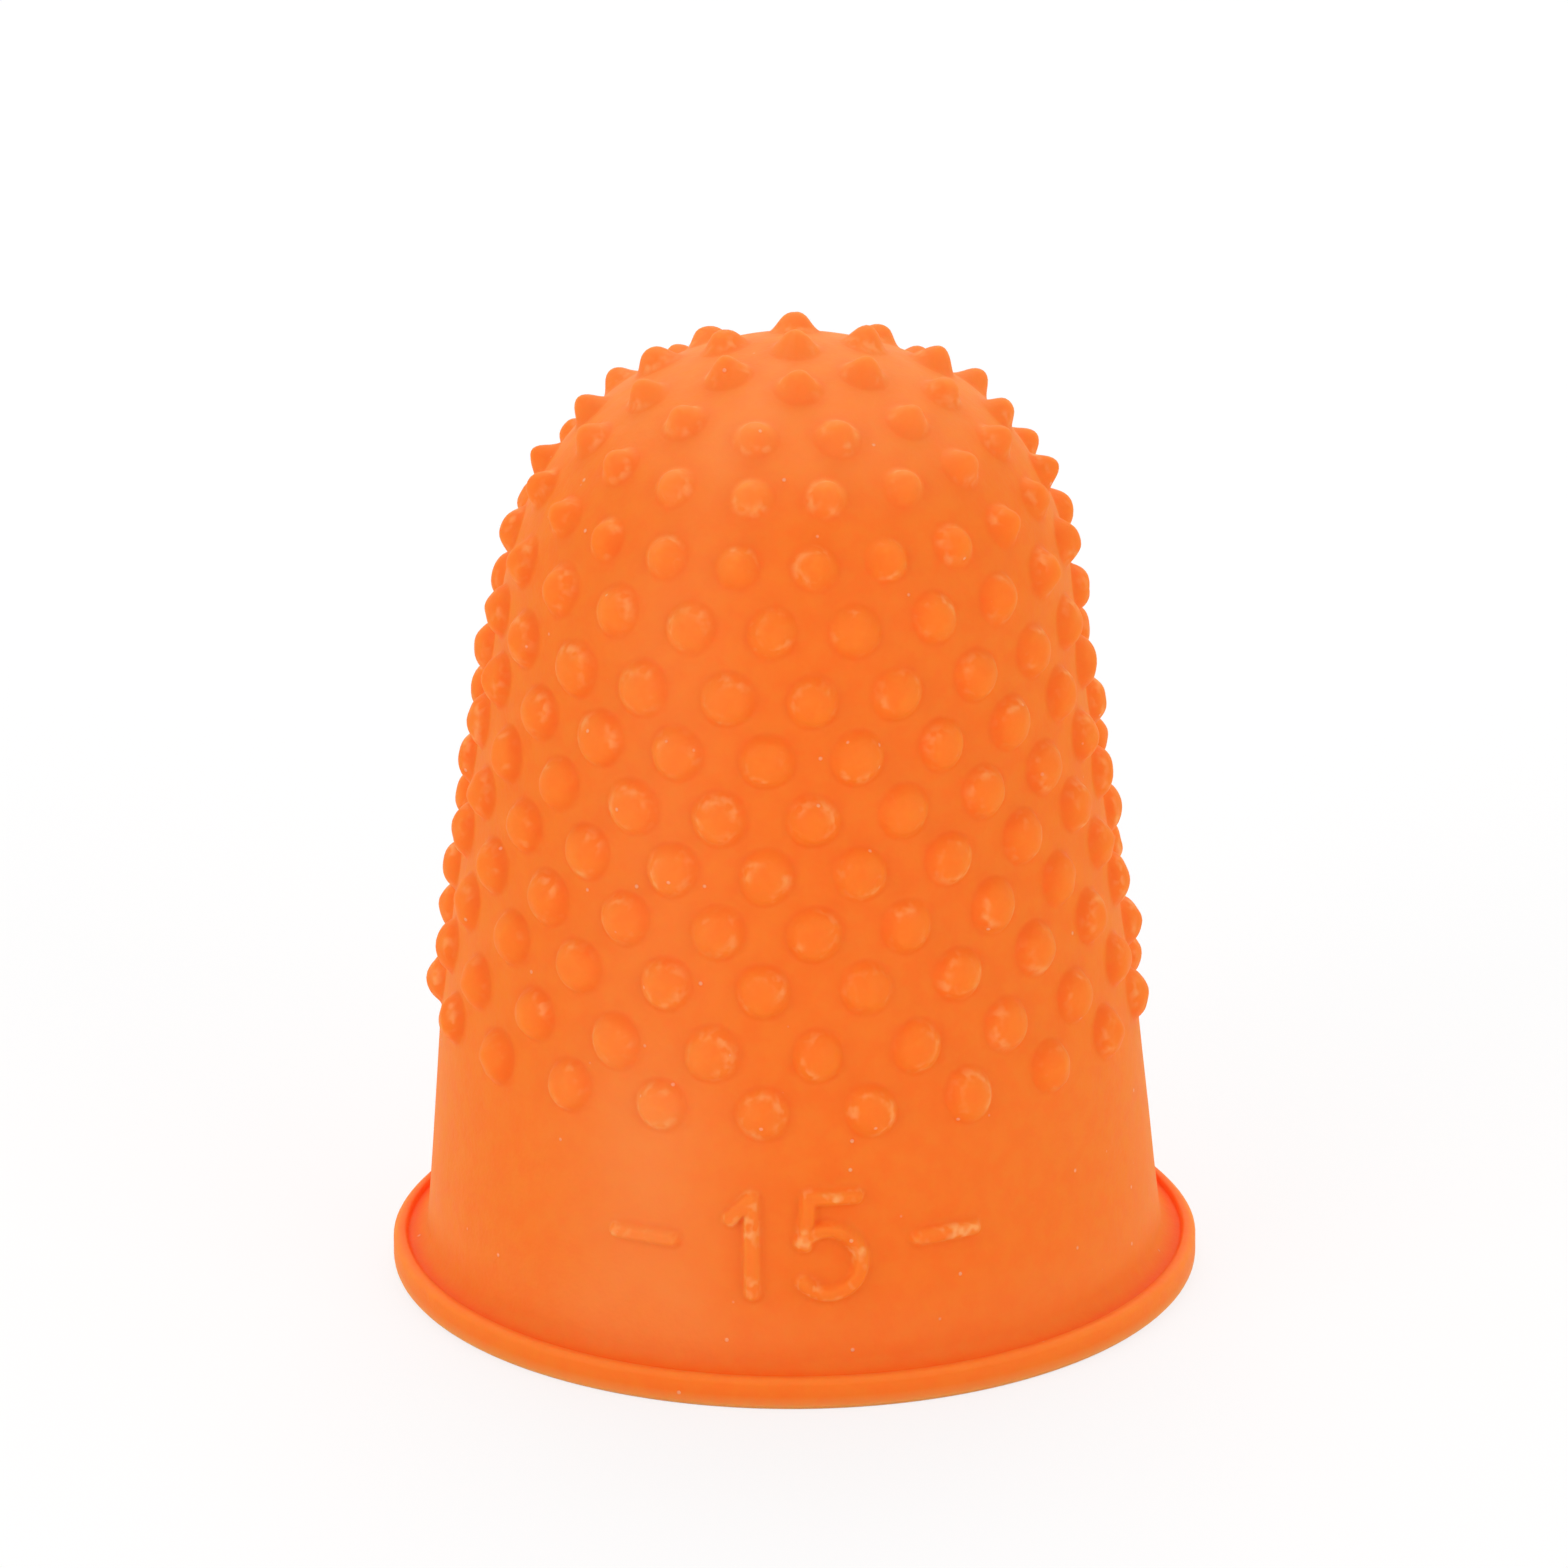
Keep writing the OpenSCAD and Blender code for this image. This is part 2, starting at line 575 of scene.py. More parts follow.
@dataclass(frozen=True)
class NubTraits:
    """How each nub of a batch differs from the next, one value a nub.

    Attributes:
        size: Radius against the usual one.
        tall: Height against the usual one.
        sharp: 0 for a blunt nub, 1 for a sharp one.
        dimple: Depth of the middle in millimetres, negative where it stands up.
        oval: Share by which the foot is drawn out, and which way.
        lobes: Share by which the foot is three-cornered, and which way.
        slant: Share of the height by which the top leans, and which way.
        ripple: Depth of the top's unevenness against the greatest, which way it runs, and where it starts.
        shift: Move of the centre in millimetres, round the wall and up it.
    """

    size: Array
    tall: Array
    sharp: Array
    dimple: Array
    oval: Array
    lobes: Array
    slant: Array
    ripple: Array
    shift: Array

    @classmethod
    def drawn(cls, dice: np.random.Generator, spread: NubSpread, usual: Array, sharp: Array) -> "NubTraits":
        """Draws the traits of a batch of nubs.

        Args:
            dice: The seeded source of chance.
            spread: How widely they differ.
            usual: Each nub's usual size against the body's nubs.
            sharp: How sharp each nub is.

        Returns:
            The traits.
        """
        count = len(usual)
        ways = dice.uniform(0, 2 * math.pi, (3, count))
        return cls(
            size=usual * held(dice, 1, spread.size, count),
            tall=held(dice, 1, spread.tall, count),
            sharp=sharp,
            dimple=dice.uniform(*spread.dimple, count),
            oval=np.stack([dice.uniform(0, spread.oval, count), ways[0]]),
            lobes=np.stack([dice.uniform(0, spread.lobes, count), ways[1]]),
            slant=np.stack([dice.uniform(0, spread.slant, count), ways[2]]),
            ripple=np.stack([dice.uniform(*spread.ripple, count), *dice.uniform(0, 2 * math.pi, (2, count))]),
            shift=np.stack([held(dice, 0, move, count) for move in spread.shift]),
        )


@dataclass(frozen=True)
class NubMaker:
    """Works out the rings of every nub of a batch in its own flat frame.

    Attributes:
        shape: The usual nub.
        spokes: Number of vertices in a ring.
    """

    shape: NubShape
    spokes: int

    def rings(self, traits: NubTraits) -> tuple[Array, Array, Array, dict[Mark, Array]]:
        """Works out the rings.

        A ring is a circle times one plus an oval wave of two and a wave of three lobes. Its height lies between the
        blunt and the sharp nub's at that ring, less a bell-shaped dimple and a sine ripple that fades out towards
        the flank, and it leans by a plane through the middle.

        Args:
            traits: The traits of the nubs.

        Returns:
            Distances round the wall and up it, and heights, each of shape (nubs, rings + 1, spokes) with the middle
            first as a ring of no size, and the marks.
        """
        shape = self.shape
        share = np.array([0.0, *shape.rings])[None, :, None]
        blunt, sharp = (high * np.array([1.0, *rise])[None, :, None]
                        for high, rise in zip(shape.height, (shape.blunt, shape.sharp)))
        spoke = (np.arange(self.spokes) * 2 * math.pi / self.spokes)[None, None, :]
        oval, oval_way = traits.oval[:, :, None, None]
        lobes, lobe_way = traits.lobes[:, :, None, None]
        slant, slant_way = traits.slant[:, :, None, None]
        size, tall, dimple = (value[:, None, None] for value in (traits.size, traits.tall, traits.dimple))
        bend = 1 + oval * np.cos(2 * (spoke - oval_way)) + lobes * np.cos(3 * (spoke - lobe_way))
        reach = shape.foot_r * size * share * bend
        across = reach * np.cos(spoke) + traits.shift[0][:, None, None]
        along = reach * np.sin(spoke) + traits.shift[1][:, None, None]
        ripple, ripple_way, ripple_start = traits.ripple[:, :, None, None]
        pace = 2 * math.pi / shape.ripple_gap
        waves = np.sin(pace * reach * np.cos(spoke - ripple_way) + ripple_start)
        top = ease(*shape.ripple_span, share)
        leaning = 1 + slant * share * np.cos(spoke - slant_way)
        height = (blunt + traits.sharp[:, None, None] * (sharp - blunt)) * tall * leaning
        height = height - dimple * bell(share, 0, shape.dimple_r) - shape.ripple * ripple * waves * top
        depth, middle, width = shape.crease_shade
        ones = np.ones_like(reach)
        # Marks: painted shade round the foot, the crown's tone, and painted highlights round the shoulder.
        marks = {
            Mark.CREASE: depth * bell(share, middle, width) * ones,
            Mark.CROWN: ease(*shape.crown_span, share) * ones,
            Mark.EDGE: bell(share, shape.shoulder, shape.edge_width) * ones,
        }
        return across, along, height, marks


@dataclass(frozen=True)
class NubField:
    """The nubs: staggered rows round the body and the dome's foot, then rings that close up to the tip.

    Attributes:
        cup: The cup that carries them.
        unevenness: How the wall strays from its true form.
        shape: The usual nub.
        spread: How widely the nubs differ.
        row_gap: Clear height between the end rows' feet and the ends of the body.
        row_lifts: How far each row on the body lies above its true place.
        row_count: Nubs in each row.
        stagger: How far a row is turned from the front, in pitches, one row to the left and the next to the right.
        ring_angles: Rings on the dome with as many nubs as a row, in degrees from the tip.
        ring_sizes: Size of those rings' nubs against the body's.
        ring_sharp: How sharp those rings' nubs are.
        cap_rings: The rings above them: degrees from the tip, number of nubs, turn of the first in degrees.
        cap_sizes: Size of those rings' nubs against the body's.
        tip_height: Height of the tip's nub against the others.
        foot_run: Arc length of the field's lowest line, just above the knee.
        model_foot_r: Radius of a nub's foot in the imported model, which spaces the rows.
        side_steps: Steps up half a tile's side.
        across_steps: Steps along half a tile's top.
        bulge: Height of the wave by which a tile's top makes room for its nub.
        blend: Where the net between a foot and its tile's edge has its rings, as shares.
        net_gap: Spacing of the net between the dome's nubs.
        net_insets: Gaps from the net to the cap's line and to the nubs, and from ring to ring of it, as shares of
            net_gap.
        seed: Seed of the chance.
    """

    cup: Cup
    unevenness: Unevenness
    shape: NubShape = NubShape()
    spread: NubSpread = NubSpread()
    row_gap: float = 0.1
    row_lifts: tuple[float, ...] = (0.09, 0.05, 0.20, 0.16, 0.13, 0.09, 0.11, 0.12)
    row_count: int = 20
    stagger: float = 0.25
    ring_angles: tuple[float, ...] = (73.5, 60.4)
    ring_sizes: tuple[float, ...] = (0.95, 0.86)
    ring_sharp: tuple[float, ...] = (0.35, 0.8)
    cap_rings: tuple[tuple[float, int, float], ...] = ((46.2, 16, 9.2), (32, 11, 16), (16.5, 6, 0), (0, 1, 0))
    cap_sizes: tuple[float, ...] = (0.86, 0.92, 0.98, 1.0)
    tip_height: float = 0.9
    foot_run: float = 0.03
    model_foot_r: float = 0.65
    side_steps: int = 2
    across_steps: int = 4
    bulge: float = 0.16
    blend: tuple[float, ...] = (0.3, 0.65)
    net_gap: float = 0.27
    net_insets: tuple[float, float, float] = (0.8, 0.75, 0.9)
    seed: int = 7

    @property
    def rows(self) -> int:
        """Number of rows on the body."""
        return len(self.row_lifts)

    @property
    def spokes(self) -> int:
        """Number of vertices in a nub's ring, the same as round its tile."""
        return 4 * (self.side_steps + self.across_steps)

    @property
    def columns(self) -> int:
        """Number of vertices round the field's lowest line."""
        return 2 * self.across_steps * self.row_count

    def row_runs(self) -> Array:
        """Gives the arc length of each even row: the body's rows evenly spaced and lifted, then the dome's rings.

        Returns:
            Arc lengths from the knee, one a row.
        """
        cup, slope = self.cup, self.cup.lean[1]
        reach = self.model_foot_r * math.cos(slope) + self.row_gap
        first = reach / math.cos(slope)
        last = cup.cone_run - first
        rings = cup.tip_run - np.radians(self.ring_angles) * cup.dome_r
        return np.append(np.linspace(first, last, self.rows) + self.row_lifts, rings)

    def edge_runs(self) -> Array:
        """Gives the lines between the rows, midway, with the lowest line first and the cap's last.

        Returns:
            Arc lengths from the knee, one a line.
        """
        rows = self.row_runs()
        cap = self.cup.tip_run - math.radians(self.cap_rings[0][0]) * self.cup.dome_r
        return np.concatenate([[self.foot_run], (rows[1:] + rows[:-1]) / 2, [(rows[-1] + cap) / 2]])

    def add_tiles(self, skin: Skin) -> tuple[Array, Array]:
        """Adds the even rows, one tile a nub, laid as bricks.

        A tile's edge runs round a rectangle of one pitch by one row, whose top and bottom wave by a cosine so that
        each nub has room. Its vertices lie on shared lines, so neighbours meet. Inside, the nub's rings are carried
        out to the edge by straight shares.

        Args:
            skin: The surface that takes the tiles.

        Returns:
            The vertex numbers of the lowest line, and of the cap's line, from the front round.
        """
        cup = self.cup
        rows, edges = self.row_runs(), self.edge_runs()
        count, pitch = self.row_count, 2 * math.pi / self.row_count
        usual = np.repeat(np.append(np.ones(self.rows), self.ring_sizes), count)
        sharp = np.repeat(np.append(np.zeros(self.rows), self.ring_sharp), count)
        across, along, height, marks = self._rings(self.seed, usual, sharp)
        stagger = np.where(np.arange(len(rows)) % 2 == 0, -self.stagger, self.stagger)
        turn = ((np.arange(count)[None, :] + stagger[:, None]) * pitch).reshape(-1, 1, 1)
        run = np.repeat(rows, count)[:, None, None]

        place = np.arange(self.spokes)
        place = np.where(place > self.spokes // 2, place - self.spokes, place)
        inset = np.abs(place)
        edge_across = np.clip(1 - (inset - self.side_steps) / self.across_steps, -1, 1)
        edge_along = np.sign(place) * np.clip(np.minimum(inset, self.spokes // 2 - inset) / self.side_steps, 0, 1)
        waves = self.bulge * np.ones(len(edges))
        waves[[0, -1]] = 0
        upper, lower = (np.repeat(edges[part], count)[:, None] for part in (slice(1, None), slice(None, -1)))
        upper_wave, lower_wave = (np.repeat(waves[part], count)[:, None] for part in (slice(1, None), slice(None, -1)))
        swing = np.cos(math.pi * edge_across)[None, :]
        top = upper + upper_wave * swing - run[:, 0]
        bottom = lower - lower_wave * swing - run[:, 0]
        edge_y = np.where(edge_along > 0, edge_along * top, -edge_along * bottom)
        edge_turn = edge_across[None, :] * pitch / 2

        radius = cup.wall(run + along)[0]
        turns = turn + across / radius
        runs = run + along
        share = np.array([*self.blend, 1.0])[None, :, None]
        out_turns = (1 - share) * turns[:, -1:] + share * (turn + edge_turn[:, None, :])
        out_runs = (1 - share) * runs[:, -1:] + share * (run + edge_y[:, None, :])
        turns, runs = np.concatenate([turns, out_turns], 1), np.concatenate([runs, out_runs], 1)
        flat = np.zeros_like(out_turns)
        height = np.concatenate([height, flat], 1)
        marks = {mark: np.concatenate([value, flat], 1) for mark, value in marks.items()}

        base, outward = cup.place(runs, turns)
        _, straight = cup.place(run, turn)
        points = base + outward * self.unevenness.swell(base)[..., None] + straight * height[..., None]
        numbers = self._add_nubs(skin, points, marks)

        first_row = numbers[:count, -1]
        last_row = numbers[-count:, -1]
        bottom_places = np.flatnonzero((edge_along == -1) & (edge_across < 1))
        top_places = np.flatnonzero((edge_along == 1) & (edge_across < 1))[::-1]
        low = self._from_front(first_row[:, bottom_places], stagger[0])
        high = self._from_front(last_row[:, top_places], stagger[len(rows) - 1])
        return low, high

    def _from_front(self, line: Array, stagger: float) -> Array:
        """Turns a line of vertices, a tile a row, so that it starts at the front.

        Args:
            line: Vertex numbers of each tile's stretch, from its left corner.
            stagger: The first tile's turn, in pitches.

        Returns:
            The vertex numbers round the line.
        """
        start = round((stagger - 0.5) * 2 * self.across_steps)
        return np.roll(line.reshape(-1), start)

    def _rings(self, seed: int, usual: Array, sharp: Array) -> tuple[Array, Array, Array, dict[Mark, Array]]:
        """Draws a batch of nubs and works out their rings.

        Args:
            seed: Seed of its chance.
            usual: Each nub's usual size against the body's nubs.
            sharp: How sharp each nub is.

        Returns:
            What NubMaker.rings gives.
        """
        traits = NubTraits.drawn(np.random.default_rng(seed), self.spread, usual, sharp)
        return NubMaker(self.shape, self.spokes).rings(traits)

    def _add_nubs(self, skin: Skin, points: Array, marks: Mapping[Mark, Array]) -> Array:
        """Adds nubs: joins the rings of each outwards, and closes its middle with a fan.

        Args:
            skin: The surface.
            points: Points of shape (nubs, rings + 1, spokes, 3), with the middle first as a ring of no size.
            marks: The value of each mark at the points.

        Returns:
            Vertex numbers of shape (nubs, rings, spokes).
        """
        numbers = skin.add(points[:, 1:], {mark: value[:, 1:] for mark, value in marks.items()})
        middles = skin.add(points[:, 0, 0], {mark: value[:, 0, 0] for mark, value in marks.items()})
        skin.triangles(middles[:, None], numbers[:, 0], np.roll(numbers[:, 0], -1, -1))
        inner, outer = numbers[:, :-1], numbers[:, 1:]
        inner_next, outer_next = np.roll(inner, -1, -1), np.roll(outer, -1, -1)
        skin.triangles(inner, outer, outer_next)
        skin.triangles(inner, outer_next, inner_next)
        return numbers

    def add_cap(self, skin: Skin, line: Array) -> None:
        """Adds the dome's cap: discs of nub rings on the sphere, and a Delaunay net of triangles between them.

        A disc's point lies at its distance along a great circle from the nub's centre. The net is worked out in the
        plane where a point keeps its turn and its arc length from the tip.

        Args:
            skin: The surface that takes the cap.
            line: The vertex numbers of the tiles' upper line, from the front round.
        """
        cup = self.cup
        away = np.concatenate([np.full(count, math.radians(angle)) for angle, count, _ in self.cap_rings])
        turn = np.concatenate([np.radians(first + np.arange(count) * 360 / count)
                               for _, count, first in self.cap_rings])
        usual = np.repeat(self.cap_sizes, [count for _, count, _ in self.cap_rings])
        across, along, height, marks = self._rings(self.seed + 1, usual, np.ones(len(usual)))
        height[-1] *= self.tip_height

        tilt = math.pi / 2 - away
        outward = around(np.cos(tilt), turn, np.sin(tilt))
        sideways = np.stack([np.cos(turn), np.sin(turn), 0 * turn], -1)
        upwards = np.cross(outward, sideways)
        outward, sideways, upwards = (axis[:, None, None, :] for axis in (outward, sideways, upwards))
        reach = np.hypot(across, along)
        way = sideways * across[..., None] + upwards * along[..., None]
        way = way / np.maximum(reach, TINY)[..., None]
        swept = (reach / cup.dome_r)[..., None]
        direction = outward * np.cos(swept) + way * np.sin(swept)
        base = direction * cup.dome_r + np.array([0, 0, cup.dome_z])
        points = base + direction * self.unevenness.swell(base)[..., None] + outward * height[..., None]
        points[..., 2] = np.minimum(points[..., 2], cup.top)
        numbers = self._add_nubs(skin, points, marks)

        rim_way = direction[:, -1]
        flat_reach = np.arccos(np.clip(rim_way[..., 2], -1, 1)) * cup.dome_r
        rim_flat = rim_way[..., :2] / np.maximum(np.hypot(rim_way[..., 0], rim_way[..., 1]), TINY)[..., None]
        loops = (rim_flat * flat_reach[..., None]).reshape(-1, 2)
        edge_reach = cup.tip_run - self.edge_runs()[-1]
        edge_turn = np.arange(self.columns) * 2 * math.pi / self.columns
        edge = edge_reach * in_plane(edge_turn)

        fill = self._lattice(edge_reach - self.net_insets[0] * self.net_gap)
        centres = (away * cup.dome_r)[:, None] * in_plane(turn)
        distance = np.hypot(*(fill[:, None] - centres[None]).transpose(2, 0, 1)).min(1)
        fill = fill[distance > self.shape.foot_r * self.shape.rings[-1] + self.net_insets[1] * self.net_gap]
        base, out = cup.place(cup.tip_run - np.hypot(fill[:, 0], fill[:, 1]), np.arctan2(fill[:, 0], -fill[:, 1]))
        fill_numbers = skin.add(base + out * self.unevenness.swell(base)[:, None], {})

        flat = np.vstack([loops, edge, fill])
        all_numbers = np.concatenate([numbers[:, -1].reshape(-1), line, fill_numbers])
        disc = np.concatenate([np.repeat(np.arange(len(away)), self.spokes), np.full(len(edge) + len(fill), -1)])
        loop_places = np.arange(len(loops)).reshape(len(away), self.spokes)
        edge_places = len(loops) + np.arange(len(edge))
        fixed = np.vstack([
            np.stack([loop_places, np.roll(loop_places, -1, 1)], -1).reshape(-1, 2),
            np.stack([edge_places, np.roll(edge_places, -1)], -1),
        ])
        _, _, faces, origins, _, _ = delaunay_2d_cdt(flat.tolist(), fixed.tolist(), [], 0, 1e-6)
        origin = np.array([own[0] for own in origins])
        corners = origin[np.array(faces)]
        side, ride = flat[corners[:, 1]] - flat[corners[:, 0]], flat[corners[:, 2]] - flat[corners[:, 0]]
        area = side[:, 0] * ride[:, 1] - side[:, 1] * ride[:, 0]
        corners = np.where((area < 0)[:, None], corners[:, ::-1], corners)
        of_disc = disc[corners]
        inside = (of_disc[:, 0] >= 0) & (of_disc == of_disc[:, :1]).all(1)
        corners = all_numbers[corners[~inside]]
        skin.triangles(corners[:, 0], corners[:, 1], corners[:, 2])

    def _lattice(self, radius: float) -> Array:
        """Fills a disc with rings of points, at least six a ring, staggered from ring to ring.

        Args:
            radius: The disc's radius.

        Returns:
            Points in the plane.
        """
        steps = np.arange(self.net_gap, radius, self.net_gap * self.net_insets[2])
        counts = np.maximum(np.round(2 * math.pi * steps / self.net_gap), 6).astype(int)
        ring = np.repeat(np.arange(len(steps)), counts)
        starts = np.repeat(np.cumsum(counts) - counts, counts)
        turn = (np.arange(len(ring)) - starts + 0.5 * (ring % 2)) * 2 * math.pi / counts[ring]
        return steps[ring][:, None] * in_plane(turn)


@dataclass(frozen=True)
class RaisedNumber:
    """The plain number that stands in relief on the front of the skirt: the mouth's width in millimetres.

    Attributes:
        middle_z: Height of its middle.
        stroke: Half the width of a stroke.
        soft: Half the width of a stroke's rounded edge.
        relief: How far it stands out.
        lines: Its strokes as open lines, in millimetres round the skirt and up it from the number's middle.
        arcs: Its curved strokes: centre, radius, and the angles in degrees where each starts and ends.
        arc_points: Points along each curved stroke.
        crease_shade: How strongly its flanks take the painted shade.
        painted_light: How strongly its strokes take the painted highlights.
    """

    middle_z: float = 3.7
    stroke: float = 0.17
    soft: float = 0.07
    relief: float = 0.25
    lines: tuple[tuple[tuple[float, float], ...], ...] = (
        ((-1.52, 0.62), (-1.02, 1.13), (-1.02, -1.17)),
        ((1.46, 1.15), (0.34, 1.15), (0.22, 0.02)),
        ((-4.35, 0.0), (-2.95, 0.0)),
        ((2.95, 0.0), (4.35, 0.0)),
    )
    arcs: tuple[tuple[tuple[float, float], float, float, float], ...] = (((0.76, -0.40), 0.77, 141.0, -140.0),)
    arc_points: int = 25
    # Painted shade on the flanks, then painted highlights on the strokes.
    crease_shade: float = 1.2
    painted_light: float = 1.5

    def height(self, across: Array, along: Array) -> Array:
        """Works out the relief: full within a stroke, then a smooth fall over its soft edge.

        Args:
            across: Distances round the skirt from the front.
            along: Distances up the skirt from the number's middle.

        Returns:
            How far each point stands out.
        """
        spot = np.stack([across, along], -1)[..., None, :]
        tails, heads = self._strokes()
        reach = heads - tails
        share = np.clip(((spot - tails) * reach).sum(-1) / (reach * reach).sum(-1), 0, 1)
        gap = np.linalg.norm(spot - tails - share[..., None] * reach, axis=-1).min(-1)
        return self.relief * ease(self.stroke + self.soft, self.stroke - self.soft, gap)

    def _strokes(self) -> tuple[Array, Array]:
        """Cuts the lines and arcs into straight stretches.

        Returns:
            The start and end of each stretch.
        """
        paths = [np.array(line) for line in self.lines]
        for centre, radius, start, end in self.arcs:
            angle = np.radians(np.linspace(start, end, self.arc_points))
            paths.append(np.array(centre) + radius * np.stack([np.cos(angle), np.sin(angle)], -1))
        return np.vstack([path[:-1] for path in paths]), np.vstack([path[1:] for path in paths])


@dataclass(frozen=True)
class Skirt:
    """The plain skirt, from the lowest line of the nub field down to the cove.

    Attributes:
        cup: The cup.
        unevenness: How the wall strays from its true form.
        number: The number in relief.
        upper_runs: Arc lengths of the coarse rows above the number.
        lower_z: Height of the coarse rows below it.
        band: Height of the fine band above and below the number's middle.
        step: Spacing of the fine rows.
        front_steps: Coarse stretches on each side of the front that are fine in the band.
        split: Fine stretches in each of them.
    """

    cup: Cup
    unevenness: Unevenness
    number: RaisedNumber
    upper_runs: tuple[float, ...] = (-0.03, -0.12, -0.4)
    lower_z: float = 1.7
    band: float = 1.5
    step: float = 0.082
    front_steps: int = 16
    split: int = 4

    def add(self, skin: Skin, line: Array) -> Array:
        """Adds the skirt.

        Args:
            skin: The surface.
            line: The vertex numbers of the line above, from the front round.

        Returns:
            The vertex numbers of the lowest line.
        """
        columns = len(line)
        turn = np.arange(columns) * 2 * math.pi / columns
        upper = self._rows(skin, np.array(self.upper_runs), turn)
        skin.ribbon(line, upper[0])
        skin.ribbon(upper[:-1], upper[1:])

        place = np.arange(columns)
        is_front = (place < self.front_steps) | (place >= columns - self.front_steps)
        splits = np.where(is_front, self.split, 1)
        starts = np.cumsum(splits) - splits
        coarse = np.repeat(place, splits)
        part = (np.arange(splits.sum()) - starts[coarse]) / splits[coarse]
        fine_turn = (coarse + part) * 2 * math.pi / columns
        middle = self.cup.run_at_height(self.number.middle_z)
        rows = round(2 * self.band / self.step) + 1
        fine = self._rows(skin, np.linspace(middle + self.band, middle - self.band, rows), fine_turn)
        skin.graded_ribbon(upper[-1], fine[0], starts, fine_above=False)
        skin.ribbon(fine[:-1], fine[1:])

        lower = self._rows(skin, np.array([self.cup.run_at_height(self.lower_z)]), turn)
        skin.graded_ribbon(lower[0], fine[-1], starts, fine_above=True)
        return lower[0]

    def _rows(self, skin: Skin, runs: Array, turn: Array) -> Array:
        """Adds level rows of vertices to the skirt, raised where the number is.

        Args:
            skin: The surface.
            runs: Each row's arc length.
            turn: Each column's turn.

        Returns:
            The vertex numbers, a row a line.
        """
        cup = self.cup
        base, outward = cup.place(runs[:, None], turn[None, :])
        middle = cup.run_at_height(self.number.middle_z)
        level_r = float(cup.wall(np.array(middle))[0])
        signed = (turn + math.pi) % (2 * math.pi) - math.pi
        height = self.number.height(*np.broadcast_arrays(signed[None, :] * level_r, runs[:, None] - middle))
        points = base + outward * (self.unevenness.swell(base) + height)[..., None]
        number, share = self.number, height / self.number.relief
        # The number's flanks take painted shade and its strokes painted highlights.
        marks = {Mark.CREASE: number.crease_shade * share * (1 - share), Mark.CROWN: share**2,
                 Mark.EDGE: number.painted_light * share}
        return skin.add(points, marks)


def arc(centre: tuple[float, float], radius: float, start: float, end: float, steps: int) -> Array:
    """Follows a circle's arc in the half section.

    Args:
        centre: Radius and height of its centre.
        radius: Its radius.
        start: Angle in degrees where it starts, from level outwards.
        end: Angle where it ends.
        steps: Number of stretches.

    Returns:
        Points of radius and height.
    """
    angle = np.radians(np.linspace(start, end, steps + 1))
    return np.array(centre) + radius * np.stack([np.cos(angle), np.sin(angle)], -1)


